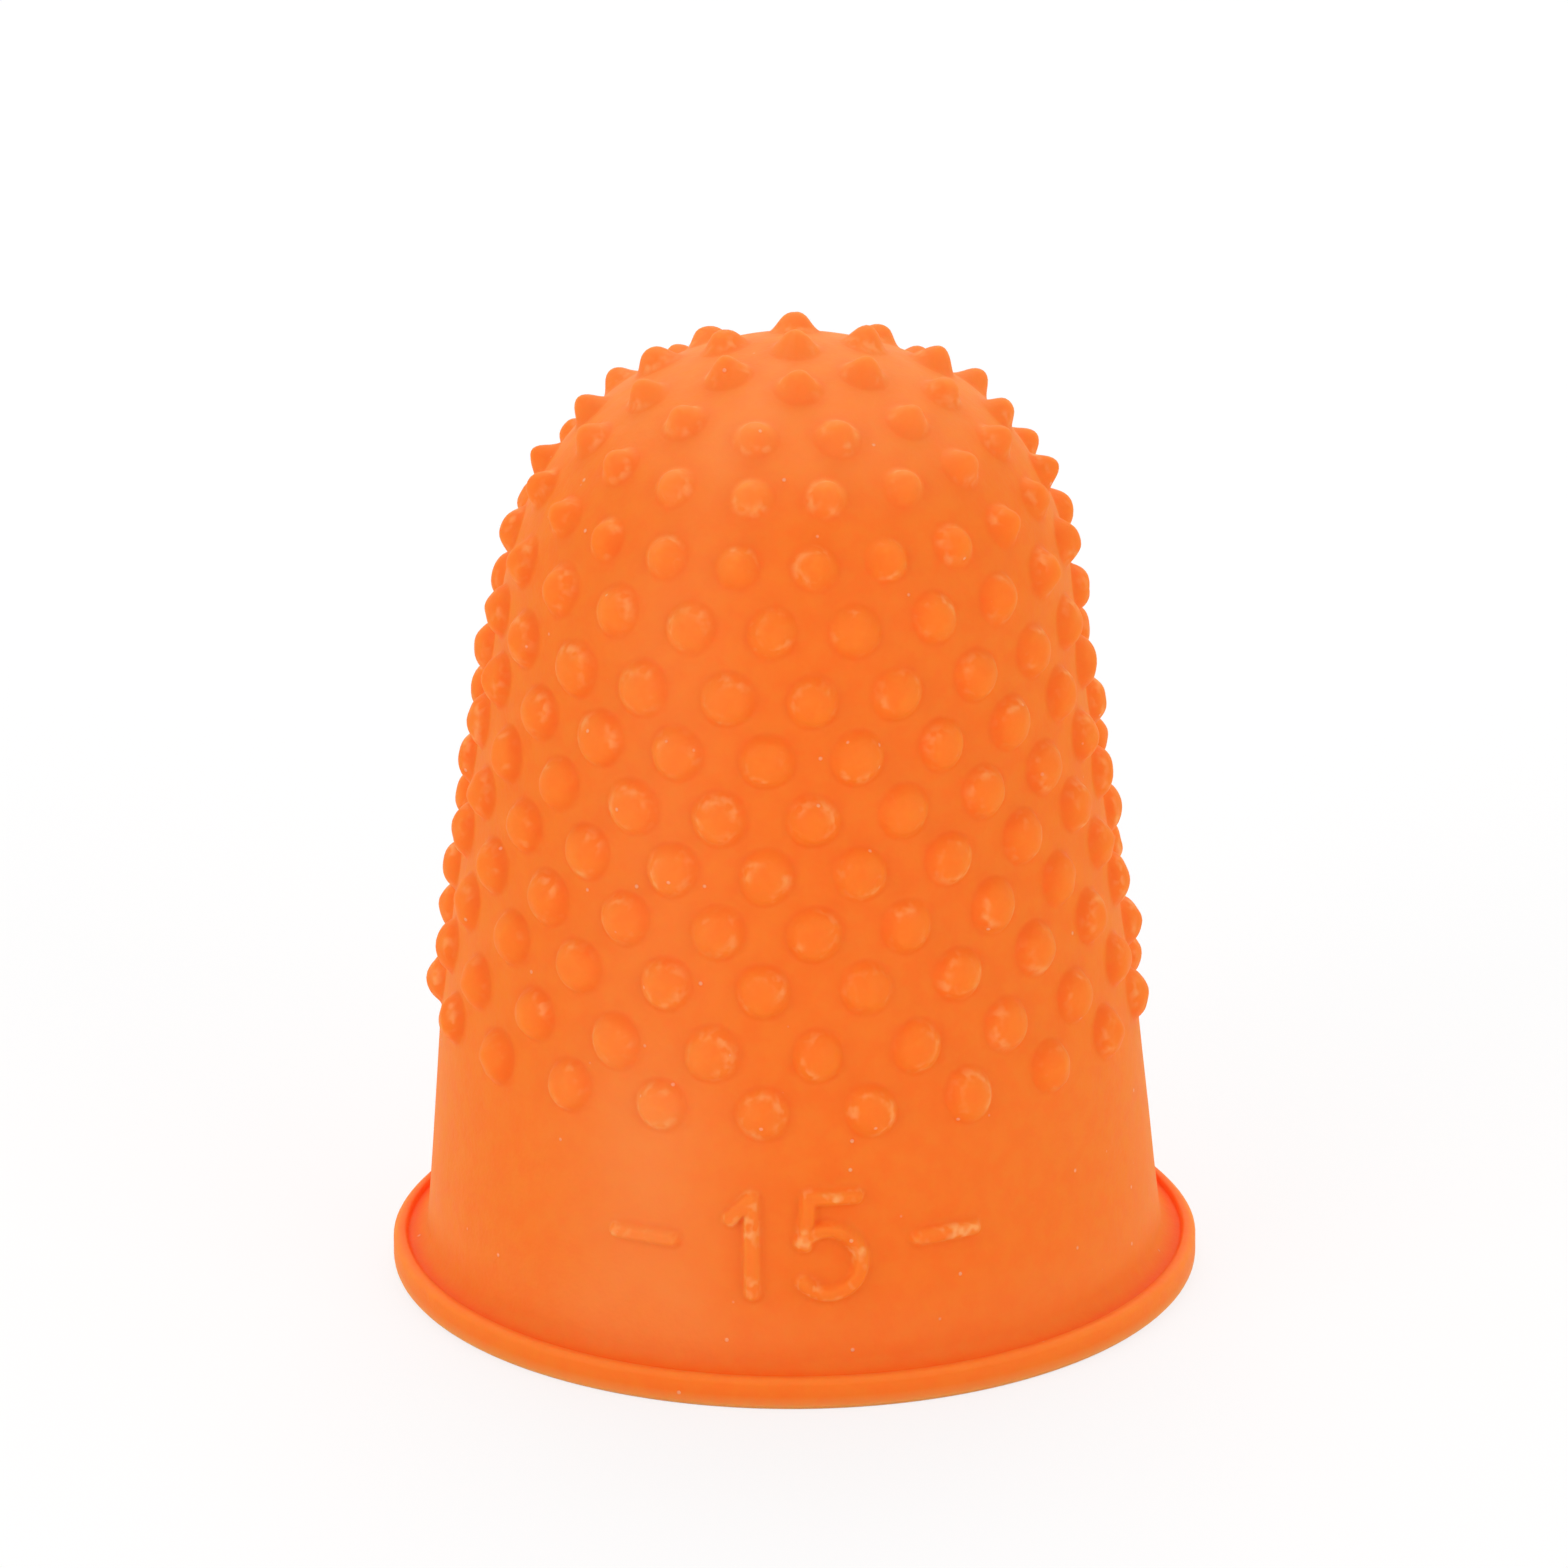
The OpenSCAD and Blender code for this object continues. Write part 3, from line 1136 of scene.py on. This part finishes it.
@dataclass(frozen=True)
class RimAndHollow:
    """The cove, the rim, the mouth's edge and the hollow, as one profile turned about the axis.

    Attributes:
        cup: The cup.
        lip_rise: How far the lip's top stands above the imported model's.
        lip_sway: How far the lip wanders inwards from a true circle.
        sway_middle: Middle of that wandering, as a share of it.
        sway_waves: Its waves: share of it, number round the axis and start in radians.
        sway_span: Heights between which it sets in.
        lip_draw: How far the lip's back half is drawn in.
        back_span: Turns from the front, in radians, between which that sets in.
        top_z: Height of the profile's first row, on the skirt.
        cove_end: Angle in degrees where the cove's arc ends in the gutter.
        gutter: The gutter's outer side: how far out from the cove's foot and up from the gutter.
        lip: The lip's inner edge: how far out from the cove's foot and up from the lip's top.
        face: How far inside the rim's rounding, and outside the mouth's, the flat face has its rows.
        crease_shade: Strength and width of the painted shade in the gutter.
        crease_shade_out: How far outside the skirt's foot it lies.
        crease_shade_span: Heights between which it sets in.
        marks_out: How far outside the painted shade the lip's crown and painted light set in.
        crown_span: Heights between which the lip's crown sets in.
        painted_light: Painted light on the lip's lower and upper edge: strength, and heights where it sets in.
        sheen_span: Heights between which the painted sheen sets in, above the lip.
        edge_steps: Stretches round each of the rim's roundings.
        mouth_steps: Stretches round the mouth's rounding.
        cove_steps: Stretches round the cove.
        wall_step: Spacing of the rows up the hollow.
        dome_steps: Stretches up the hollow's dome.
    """

    cup: Cup
    lip_rise: float = 0.05
    lip_sway: float = 0.02
    sway_middle: float = 0.5
    sway_waves: tuple[tuple[float, int, float], ...] = ((0.3, 3, 0.6), (0.2, 7, 2.0))
    sway_span: tuple[float, float] = (0.0, 0.1)
    lip_draw: float = 0.2
    back_span: tuple[float, float] = (1.55, 2.1)
    top_z: float = 1.35
    cove_end: float = 262.0
    gutter: tuple[tuple[float, float], ...] = ((0.02, 0.0), (0.05, 0.03))
    lip: tuple[tuple[float, float], ...] = ((0.085, -0.022), (0.13, 0.0))
    face: tuple[float, float] = (0.4, 0.3)
    # Painted shade in the gutter.
    crease_shade: tuple[float, float] = (1.3, 0.22)
    crease_shade_out: float = 0.3
    crease_shade_span: tuple[float, float] = (0.35, 0.6)
    marks_out: tuple[float, float] = (0.1, 0.25)
    crown_span: tuple[float, float] = (0.3, 0.62)
    # Painted light on the lip's lower and upper edge.
    painted_light: tuple[tuple[float, float, float], ...] = ((0.7, 0.27, 0.04), (0.1, 0.6, 0.74))
    # Where the painted sheen sets in above the lip.
    sheen_span: tuple[float, float] = (0.6, 1.2)
    edge_steps: int = 5
    mouth_steps: int = 6
    cove_steps: int = 9
    wall_step: float = 1.3
    dome_steps: int = 14

    def profile(self) -> Array:
        """Follows the half section from the cove down round the rim, in at the mouth and up to the hollow's top.

        Returns:
            Points of radius and height, without the last one on the axis.
        """
        cup = self.cup
        skirt, body = cup.lean
        gutter_z = cup.rim_t - cup.gutter_depth
        lip_z = cup.rim_t + self.lip_rise
        cove_z = gutter_z + cup.cove_r
        cove_x = cup.foot_r - cove_z * math.tan(skirt) + cup.cove_r
        edge = cup.rim_r - cup.rim_round
        mouth_edge = cup.mouth_r + cup.mouth_round
        inner_r = cup.knee_r - cup.wall_t
        dome_r = cup.dome_r - cup.wall_t * math.cos(body)
        rows = math.ceil((cup.skirt_h - cup.mouth_round) / self.wall_step)
        slope = np.linspace(0, 1, rows + 1)[1:, None]
        mouth = np.array([cup.mouth_r, cup.mouth_round])
        knee = np.array([inner_r, cup.skirt_h])
        dome = arc((0.0, cup.dome_z), dome_r, cup.body_taper, 90.0, self.dome_steps)[:-1]
        rise = np.linspace(0, 1, math.ceil((dome[0, 1] - cup.skirt_h) / self.wall_step) + 1)[1:-1, None]
        return np.vstack([
            [cup.foot_r - self.top_z * math.tan(skirt), self.top_z],
            arc((cove_x, cove_z), cup.cove_r, 180 + cup.skirt_taper, self.cove_end, self.cove_steps),
            np.array(self.gutter) + (cove_x, gutter_z),
            np.array(self.lip) + (cove_x, lip_z),
            arc((edge, lip_z - cup.rim_round), cup.rim_round, 90, 0, self.edge_steps),
            [[cup.rim_r, cup.rim_t / 2]],
            arc((edge, cup.rim_round), cup.rim_round, 0, -90, self.edge_steps),
            [[edge - self.face[0], 0.0], [mouth_edge + self.face[1], 0.0]],
            arc((mouth_edge, cup.mouth_round), cup.mouth_round, 270, 180, self.mouth_steps),
            mouth + slope * (knee - mouth),
            knee + rise * (dome[0] - knee),
            dome,
        ])

    def add(self, skin: Skin, line: Array) -> None:
        """Adds the rows of the profile below a line, and closes the hollow's top with a fan.

        The lip wanders inwards by sine waves round the axis, and its back half eases inwards as a whole. The painted
        shade in the gutter is a bell curve of the radius. The crown and the painted light on the lip's edges ease in
        with the height on the lip. The painted sheen is kept off the lip and the hollow.

        Args:
            skin: The surface.
            line: The vertex numbers of the line above, from the front round.
        """
        cup = self.cup
        turn = np.arange(len(line)) * 2 * math.pi / len(line)
        radius, height = self.profile().T[:, :, None]
        waves = sum((size * np.sin(count * turn + start) for size, count, start in self.sway_waves), self.sway_middle)
        share = ease(cup.foot_r, cup.rim_r, radius)
        behind = ease(*self.back_span, np.minimum(turn, 2 * math.pi - turn))
        sway = self.lip_sway * ease(*self.sway_span, height) * waves
        radius = radius - share * (sway + self.lip_draw * behind)
        gutter_r = cup.foot_r + self.crease_shade_out
        depth, width = self.crease_shade
        on_lip = ease(gutter_r + self.marks_out[0], gutter_r + self.marks_out[1], radius)
        is_outside = radius > cup.foot_r - 0.5 * cup.wall_t
        # Painted shade in the gutter, painted light on the lip's edges, and the painted sheen kept off the lip and
        # hollow.
        rows = skin.add(around(radius, turn, height), {
            Mark.CREASE: depth * bell(radius, gutter_r, width) * ease(*self.crease_shade_span, height),
            Mark.CROWN: on_lip * ease(*self.crown_span, height),
            Mark.LIP_LIGHT: on_lip * sum(strength * ease(low, high, height) for strength, low, high in self.painted_light),
            Mark.BLOOM: ease(*self.sheen_span, height) * is_outside,
        })
        skin.ribbon(line, rows[0])
        skin.ribbon(rows[:-1], rows[1:])
        top = cup.dome_z + cup.dome_r - cup.wall_t * math.cos(cup.lean[1])
        tip = skin.add(np.array([0.0, 0.0, top]), {})
        skin.triangles(tip, np.roll(rows[-1], -1), rows[-1])


class Signal:
    """A number that varies over a surface, on which Python's operators add Math nodes."""

    def __init__(self, graph: "Graph", socket: bpy.types.NodeSocket) -> None:
        """Wraps a socket of a graph."""
        self.graph = graph
        self.socket = socket

    def math(self, operation: str, *others: Union["Signal", float], swap: bool = False) -> "Signal":
        """Adds a Math node.

        Args:
            operation: The node's operation.
            *others: The other values.
            swap: Whether this signal comes second.

        Returns:
            The node's value.
        """
        values = (*others, self) if swap else (self, *others)
        made = self.graph.node("ShaderNodeMath", {"operation": operation}, dict(enumerate(values)))
        return Signal(self.graph, made.outputs[0])

    def __add__(self, other: Union["Signal", float]) -> "Signal":
        """The sum."""
        return self.math("ADD", other)

    __radd__ = __add__

    def __sub__(self, other: Union["Signal", float]) -> "Signal":
        """The difference."""
        return self.math("SUBTRACT", other)

    def __rsub__(self, other: float) -> "Signal":
        """The difference from a number."""
        return self.math("SUBTRACT", other, swap=True)

    def __mul__(self, other: Union["Signal", float]) -> "Signal":
        """The product."""
        return self.math("MULTIPLY", other)

    __rmul__ = __mul__

    def __truediv__(self, other: Union["Signal", float]) -> "Signal":
        """The quotient."""
        return self.math("DIVIDE", other)

    def __rtruediv__(self, other: float) -> "Signal":
        """A number over this signal."""
        return self.math("DIVIDE", other, swap=True)

    def __pow__(self, other: float) -> "Signal":
        """The power."""
        return self.math("POWER", other)

    def clamped(self) -> "Signal":
        """The signal held between 0 and 1."""
        return self.math("MAXIMUM", 0.0).math("MINIMUM", 1.0)

    def rising(self, low: float, high: float) -> "Signal":
        """0 below low, 1 above high and a straight rise between; it falls where low is the larger."""
        return ((self - low) / (high - low)).clamped()


Feed = Union[Signal, bpy.types.NodeSocket, float, Sequence[float]]


class Graph:
    """Adds nodes to one material's or world's tree."""

    def __init__(self, tree: bpy.types.NodeTree) -> None:
        """Empties the tree and takes it."""
        self.tree = tree
        tree.nodes.clear()

    def node(self, kind: str, settings: Mapping[str, Any] | None = None,
             inputs: Mapping[Union[int, str], Feed] | None = None) -> bpy.types.Node:
        """Adds a node.

        Args:
            kind: The node's type.
            settings: What is set on the node first.
            inputs: The value or link of each socket, by number or name.

        Returns:
            The node.
        """
        made = self.tree.nodes.new(kind)
        for name, value in (settings or {}).items():
            setattr(made, name, value)
        for key, value in (inputs or {}).items():
            self._feed(made.inputs[key], value)
        return made

    def _feed(self, socket: bpy.types.NodeSocket, value: Feed) -> None:
        """Links a signal or a socket to an input, or sets its value.

        Args:
            socket: The input.
            value: What it takes.
        """
        source = value.socket if isinstance(value, Signal) else value
        if isinstance(source, bpy.types.NodeSocket):
            self.tree.links.new(source, socket)
        else:
            socket.default_value = source

    def signal(self, kind: str, output: Union[int, str] = 0, settings: Mapping[str, Any] | None = None,
               inputs: Mapping[Union[int, str], Feed] | None = None) -> Signal:
        """Adds a node and gives one of its outputs as a signal.

        Args:
            kind: The node's type.
            output: Which output.
            settings: As for node.
            inputs: As for node.

        Returns:
            The output.
        """
        return Signal(self, self.node(kind, settings, inputs).outputs[output])

    def mix(self, share: Feed, first: Feed, second: Feed) -> bpy.types.NodeSocket:
        """Mixes two colours by a share.

        Args:
            share: 0 for the first colour, 1 for the second.
            first: A colour.
            second: A colour.

        Returns:
            The mixed colour.
        """
        made = self.node("ShaderNodeMix", {"data_type": "RGBA"}, {0: share, 6: first, 7: second})
        return made.outputs[2]


@dataclass(frozen=True)
class RubberFinish:
    """Matte moulded rubber: orange, with faint clouds, dust and a fine tooth, and painted shade, highlights and sheen.

    Attributes:
        body: The wall's colour.
        deep_and_crease_shade: The colour of the dark blotches, and of the painted shade in the creases.
        pale: The colour of the crowns and the lip.
        sheen_colour: The colour of the painted sheen.
        highlight: The colour of the painted highlights on the nubs' shoulders, the number's strokes and the lip.
        dust: The colour of the dust specks.
        crease_shade_share: How strongly the painted shade in the creases takes the dark colour.
        crown_share: How strongly the crowns take the pale one.
        highlight_share: How strongly the painted highlights show.
        highlight_scale: Patches of painted highlights to a metre.
        highlight_edges: Values of their noise between which they set in.
        fleck_ratio: Flecks in the width of a patch of painted highlights.
        fleck_edges: Values of their noise between which the flecks set in.
        cloud_scale: Clouds to a metre.
        cloud_edges: Values of their noise between which the clouds set in.
        cloud_share: How far a cloud or a blotch shifts the colour.
        blotch_ratio: Blotches in the width of a cloud.
        blotch_edges: Values of their noise between which the blotches set in.
        sheen_share: How strongly the painted sheen shows where no cloud is, and how much more in a cloud.
        tooth_scale: Grains of the fine tooth to a metre.
        tooth_depth: Depth of the tooth in metres.
        dent_scale: Slow dents to a metre.
        dent_depth: Depth of the dents in metres.
        speck_scale: Cells to a metre, of which few hold a speck.
        speck_edges: Distances from a cell's middle between which a speck sets in, inwards.
        speck_pick: Values of a cell's own chance between which it holds a speck.
        speck_share: How strongly the specks show.
        speck_height: Height of a speck in metres.
        roughness: How matte it is.
        rough_sway: How far the tooth and the blotches each shift that.
        ior: Its refractive index.
        specular: Strength of its reflection.
        scatter: Share of light that scatters below the surface.
        scatter_depth: How far it scatters, in metres.
        scatter_reach: How far red, green and blue scatter against that.
    """

    body: Colour = srgb(248, 124, 34)
    # The dark colour serves the random blotches and the painted shade in the creases.
    deep_and_crease_shade: Colour = srgb(248, 97, 15)
    pale: Colour = srgb(243, 130, 37)
    # Colour of the painted sheen.
    sheen_colour: Colour = srgb(249, 142, 70)
    # Colour of the painted highlights on the shoulders, strokes and lip.
    scuff: Colour = srgb(252, 168, 98)
    dust: Colour = srgb(255, 214, 180)
    # Strength of the painted shade in the creases.
    crease_shade_share: float = 0.6
    crown_share: float = 0.3
    # Painted highlights: strength, size and noise edges.
    highlight_share: float = 0.6
    highlight_scale: float = 1500.0
    highlight_edges: tuple[float, float] = (0.46, 0.6)
    fleck_ratio: float = 2.6
    fleck_edges: tuple[float, float] = (0.42, 0.62)
    cloud_scale: float = 400.0
    cloud_edges: tuple[float, float] = (0.35, 0.68)
    cloud_share: float = 0.26
    blotch_ratio: float = 5.0
    blotch_edges: tuple[float, float] = (0.62, 0.36)
    # Strength of the painted sheen.
    sheen_share: tuple[float, float] = (0.35, 0.6)
    tooth_scale: float = 9000.0
    tooth_depth: float = 0.000010
    dent_scale: float = 900.0
    dent_depth: float = 0.000045
    speck_scale: float = 1500.0
    speck_edges: tuple[float, float] = (0.085, 0.045)
    speck_pick: tuple[float, float] = (0.58, 0.60)
    speck_share: float = 0.42
    speck_height: float = 0.00002
    roughness: float = 0.62
    rough_sway: float = 0.10
    ior: float = 1.5
    specular: float = 0.16
    scatter: float = 0.8
    scatter_depth: float = 0.0006
    scatter_reach: tuple[float, float, float] = (1.0, 0.35, 0.12)

    def made(self) -> bpy.types.Material:
        """Builds the material.

        Returns:
            The material.
        """
        material = bpy.data.materials.new("rubber")
        material.use_nodes = True
        graph = Graph(material.node_tree)
        place = graph.node("ShaderNodeTexCoord").outputs["Object"]
        # Besides the crowns, the marks carry painted shade, painted highlights and a painted sheen.
        crease_shade, crown, edge, lip_light, sheen = (
            graph.signal("ShaderNodeAttribute", "Fac", {"attribute_name": mark.value}) for mark in Mark)
        clouds = self._noise(graph, place, self.cloud_scale, 3.0)
        blotches = self._noise(graph, place, self.cloud_scale * self.blotch_ratio)
        tooth = self._noise(graph, place, self.tooth_scale)
        dents = self._noise(graph, place, self.dent_scale)
        specks = self._specks(graph, place)
        # Painted highlights: patches and flecks of noise on the marked shoulders and strokes.
        patches = self._noise(graph, place, self.highlight_scale).rising(*self.highlight_edges)
        flecks = self._noise(graph, place, self.highlight_scale * self.fleck_ratio, 1.0).rising(*self.fleck_edges)
        highlights = edge * patches * flecks

        colour = graph.mix(clouds.rising(*self.cloud_edges) * self.cloud_share, self.body, self.pale)
        colour = graph.mix(blotches.rising(*self.blotch_edges) * self.cloud_share, colour, self.deep_and_crease_shade)
        colour = graph.mix((crown * self.crown_share).clamped(), colour, self.pale)
        # Painted sheen, patchy with the clouds.
        colour = graph.mix(sheen * (self.sheen_share[0] + clouds * self.sheen_share[1]), colour, self.sheen_colour)
        # Painted shade in the creases.
        colour = graph.mix((crease_shade * self.crease_shade_share).clamped(), colour, self.deep_and_crease_shade)
        # Painted highlights on the shoulders and strokes, and painted light on the lip's edges.
        colour = graph.mix((highlights * self.highlight_share + lip_light).clamped(), colour, self.scuff)
        colour = graph.mix(specks * self.speck_share, colour, self.dust)
        rough = self.roughness + (tooth - 0.5) * self.rough_sway + (blotches - 0.5) * self.rough_sway

        relief = tooth * self.tooth_depth + dents * self.dent_depth + specks * self.speck_height
        bump = graph.node("ShaderNodeBump", {}, {"Strength": 1.0, "Distance": 1.0, "Height": relief})
        shader = graph.node("ShaderNodeBsdfPrincipled", {}, {
            "Base Color": colour,
            "Roughness": rough.clamped(),
            "Normal": bump.outputs[0],
            "IOR": self.ior,
            "Specular IOR Level": self.specular,
            "Subsurface Weight": self.scatter,
            "Subsurface Radius": self.scatter_reach,
            "Subsurface Scale": self.scatter_depth,
        })
        graph.node("ShaderNodeOutputMaterial", {}, {"Surface": shader.outputs[0]})
        return material

    def _noise(self, graph: Graph, place: Feed, scale: float, detail: float = 2.0) -> Signal:
        """Adds a noise of a scale and detail on the object's own coordinates."""
        return graph.signal("ShaderNodeTexNoise", 0, {}, {"Vector": place, "Scale": scale, "Detail": detail})

    def _specks(self, graph: Graph, place: Feed) -> Signal:
        """Adds sparse specks: the middles of a few of a Voronoi texture's cells.

        Args:
            graph: The material's graph.
            place: The coordinates.

        Returns:
            1 on a speck and 0 elsewhere.
        """
        cells = graph.node("ShaderNodeTexVoronoi", {}, {"Vector": place, "Scale": self.speck_scale})
        pick = graph.signal("ShaderNodeSeparateColor", 0, {}, {0: cells.outputs["Color"]})
        near = Signal(graph, cells.outputs["Distance"]).rising(*self.speck_edges)
        return near * pick.rising(*self.speck_pick)


@dataclass(frozen=True)
class Lamp:
    """A square soft lamp that looks at the object.

    Attributes:
        name: Its name.
        azimuth: Angle round the axis from the front towards +X, in degrees.
        elevation: Angle above level, in degrees.
        distance: Distance from the object, in metres.
        side: Length of its side, in metres.
        radiance: How bright its face is. A surface that it fills the view of renders at this times its colour.
    """

    name: str
    azimuth: float
    elevation: float
    distance: float
    side: float
    radiance: float

    def made(self, aim: Vector) -> bpy.types.Object:
        """Builds the lamp.

        Args:
            aim: The point that it looks at.

        Returns:
            The lamp.
        """
        data = bpy.data.lights.new(self.name, "AREA")
        data.shape = "SQUARE"
        data.size = self.side
        data.energy = self.radiance * math.pi * self.side**2
        lamp = bpy.data.objects.new(self.name, data)
        turn, rise = math.radians(self.azimuth), math.radians(self.elevation)
        away = Vector((math.sin(turn) * math.cos(rise), -math.cos(turn) * math.cos(rise), math.sin(rise)))
        lamp.location = aim + away * self.distance
        lamp.rotation_euler = away.to_track_quat("Z", "Y").to_euler()
        bpy.context.scene.collection.objects.link(lamp)
        return lamp


@dataclass(frozen=True)
class Studio:
    """The light tent: soft lamps, an even glow all round and a white floor.

    Attributes:
        aim: Height of the point that the lamps look at, in metres.
        glow: Brightness of the tent's walls.
        front_dim: Share by which the tent's front is dimmer, round the opening that the camera looks in by.
        opening: The way from the object to that opening.
        floor_side: Length of the floor's side, in metres.
        floor_shade: How white the floor's paint is.
        floor_glow: Share of the floor's white that the object's shadow doesn't darken.
        lamps: The lamps.
    """

    aim: float = 0.012
    glow: float = 0.815
    front_dim: float = 0.42
    opening: tuple[float, float, float] = (0.0, -0.93, 0.37)
    floor_side: float = 3.0
    floor_shade: float = 0.93
    floor_glow: float = 0.75
    lamps: tuple[Lamp, ...] = (
        Lamp("left_lamp", -46, 26, 0.4, 0.24, 2.07),
        Lamp("right_lamp", 42, 22, 0.4, 0.24, 1.84),
        Lamp("back_lamp", 180, 50, 0.4, 0.3, 1.75),
    )

    def _seen(self, graph: Graph) -> Signal:
        """Gives 1 for rays that should meet plain white: straight from the camera, or off or through a surface.

        Args:
            graph: The graph of the floor's material or the world.

        Returns:
            1 for those rays and 0 for the rest.
        """
        path = graph.node("ShaderNodeLightPath")
        rays = [Signal(graph, path.outputs[name]) for name in
                ("Is Camera Ray", "Is Glossy Ray", "Is Transmission Ray")]
        return (rays[0] + rays[1] + rays[2]).clamped()

    def build(self) -> None:
        """Builds the floor, the lamps and the world."""
        self._floor()
        for lamp in self.lamps:
            lamp.made(Vector((0, 0, self.aim)))
        self._world()
        log.info("studio: a floor and %d lamps", len(self.lamps))

    def _floor(self) -> None:
        """Builds the floor: white paint that keeps the object's shadow, seen from above only."""
        half = self.floor_side / 2
        mesh = bpy.data.meshes.new("floor")
        corners = np.array([[-half, -half, 0], [half, -half, 0], [half, half, 0], [-half, half, 0]])
        mesh.from_pydata(corners, [], [[0, 1, 2, 3]])
        floor = bpy.data.objects.new("floor", mesh)
        bpy.context.scene.collection.objects.link(floor)
        material = bpy.data.materials.new("floor_white")
        material.use_nodes = True
        graph = Graph(material.node_tree)
        shade = self.floor_shade
        paint = graph.node("ShaderNodeBsdfDiffuse", {}, {"Color": (shade, shade, shade, 1)})
        light = graph.node("ShaderNodeEmission", {}, {"Color": (1, 1, 1, 1), "Strength": 1.0})
        bare = graph.node("ShaderNodeBsdfTransparent")
        share = self._seen(graph) * self.floor_glow
        front = graph.node("ShaderNodeMixShader", {}, {0: share, 1: paint.outputs[0], 2: light.outputs[0]})
        back = graph.node("ShaderNodeNewGeometry").outputs["Backfacing"]
        both = graph.node("ShaderNodeMixShader", {}, {0: back, 1: front.outputs[0], 2: bare.outputs[0]})
        graph.node("ShaderNodeOutputMaterial", {}, {"Surface": both.outputs[0]})
        mesh.materials.append(material)

    def _world(self) -> None:
        """Builds the world: a glow that lights the object, and plain white behind it.

        The glow dims by the square of how far a way points at the opening.
        """
        world = bpy.data.worlds.new("tent")
        world.use_nodes = True
        bpy.context.scene.world = world
        graph = Graph(world.node_tree)
        way = graph.node("ShaderNodeTexCoord").outputs["Generated"]
        to_front = graph.node("ShaderNodeVectorMath", {"operation": "DOT_PRODUCT"}, {0: way, 1: self.opening})
        front = Signal(graph, to_front.outputs["Value"]).clamped() ** 2
        tent = (1 - front * self.front_dim) * self.glow
        seen = self._seen(graph)
        strength = seen + (1 - seen) * tent
        back = graph.node("ShaderNodeBackground", {}, {"Color": (1, 1, 1, 1), "Strength": strength})
        graph.node("ShaderNodeOutputWorld", {}, {"Surface": back.outputs[0]})


@dataclass(frozen=True)
class Viewpoint:
    """The photograph's camera: far off, a little above the object.

    Attributes:
        elevation: Angle above level, in degrees.
        distance: Distance from the aim to the camera, in metres.
        focal_px: Focal length in pixels of the photograph.
        aim_x: Sideways place of the point in the frame's middle, in metres.
        aim_z: Height of that point.
        roll: Turn of the camera about its line of sight, in degrees.
        sensor: Width of the sensor, in millimetres.
        clip: The nearest and the farthest that it sees, in metres.
    """

    elevation: float = 21.95
    distance: float = 0.617
    focal_px: float = 26665.0
    aim_x: float = -0.00021
    aim_z: float = 0.01177
    roll: float = -0.17
    sensor: float = 36.0
    clip: tuple[float, float] = (0.01, 10.0)

    def build(self) -> None:
        """Builds the camera and makes it the scene's."""
        data = bpy.data.cameras.new("camera")
        data.sensor_width = self.sensor
        data.lens = self.focal_px / PHOTO_SIDE * self.sensor
        data.clip_start, data.clip_end = self.clip
        camera = bpy.data.objects.new("camera", data)
        rise = math.radians(self.elevation)
        away = Vector((0, -math.cos(rise), math.sin(rise)))
        look = away.to_track_quat("Z", "Y").to_matrix() @ Matrix.Rotation(math.radians(self.roll), 3, "Z")
        camera.rotation_euler = look.to_euler()
        camera.location = Vector((self.aim_x, 0, self.aim_z)) + away * self.distance
        bpy.context.scene.collection.objects.link(camera)
        bpy.context.scene.camera = camera


@dataclass(frozen=True)
class FingerTip:
    """The whole object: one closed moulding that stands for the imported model's node.

    Attributes:
        cup: The cup's sizes.
        finish: The rubber.
        number: The number in relief on the skirt.
    """

    cup: Cup
    finish: RubberFinish = RubberFinish()
    number: RaisedNumber = RaisedNumber()

    def build(self) -> bpy.types.Object:
        """Builds the moulding from the nub field down to the hollow, and dresses it.

        Returns:
            The object.
        """
        unevenness = Unevenness(self.cup)
        # The skin works out the painted sheen at each vertex.
        skin = Skin(unevenness, PaintedSheen())
        field = NubField(self.cup, unevenness)
        low, high = field.add_tiles(skin)
        field.add_cap(skin, high)
        line = Skirt(self.cup, unevenness, self.number).add(skin, low)
        RimAndHollow(self.cup).add(skin, line)
        made = skin.write("moulding")
        made.data.materials.append(self.finish.made())
        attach(made, BODY)
        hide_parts(NODE)
        return made


def main() -> None:
    """Builds the camera, the object and the studio in order, and reports the object and the studio."""
    Viewpoint().build()
    made = FingerTip(Cup.from_frame(NODE)).build()
    log.info("%s stands for %s", made.name, NODE)
    Studio().build()
    bpy.context.scene.view_settings.view_transform = "Standard"


if __name__ == "__main__":
    main()
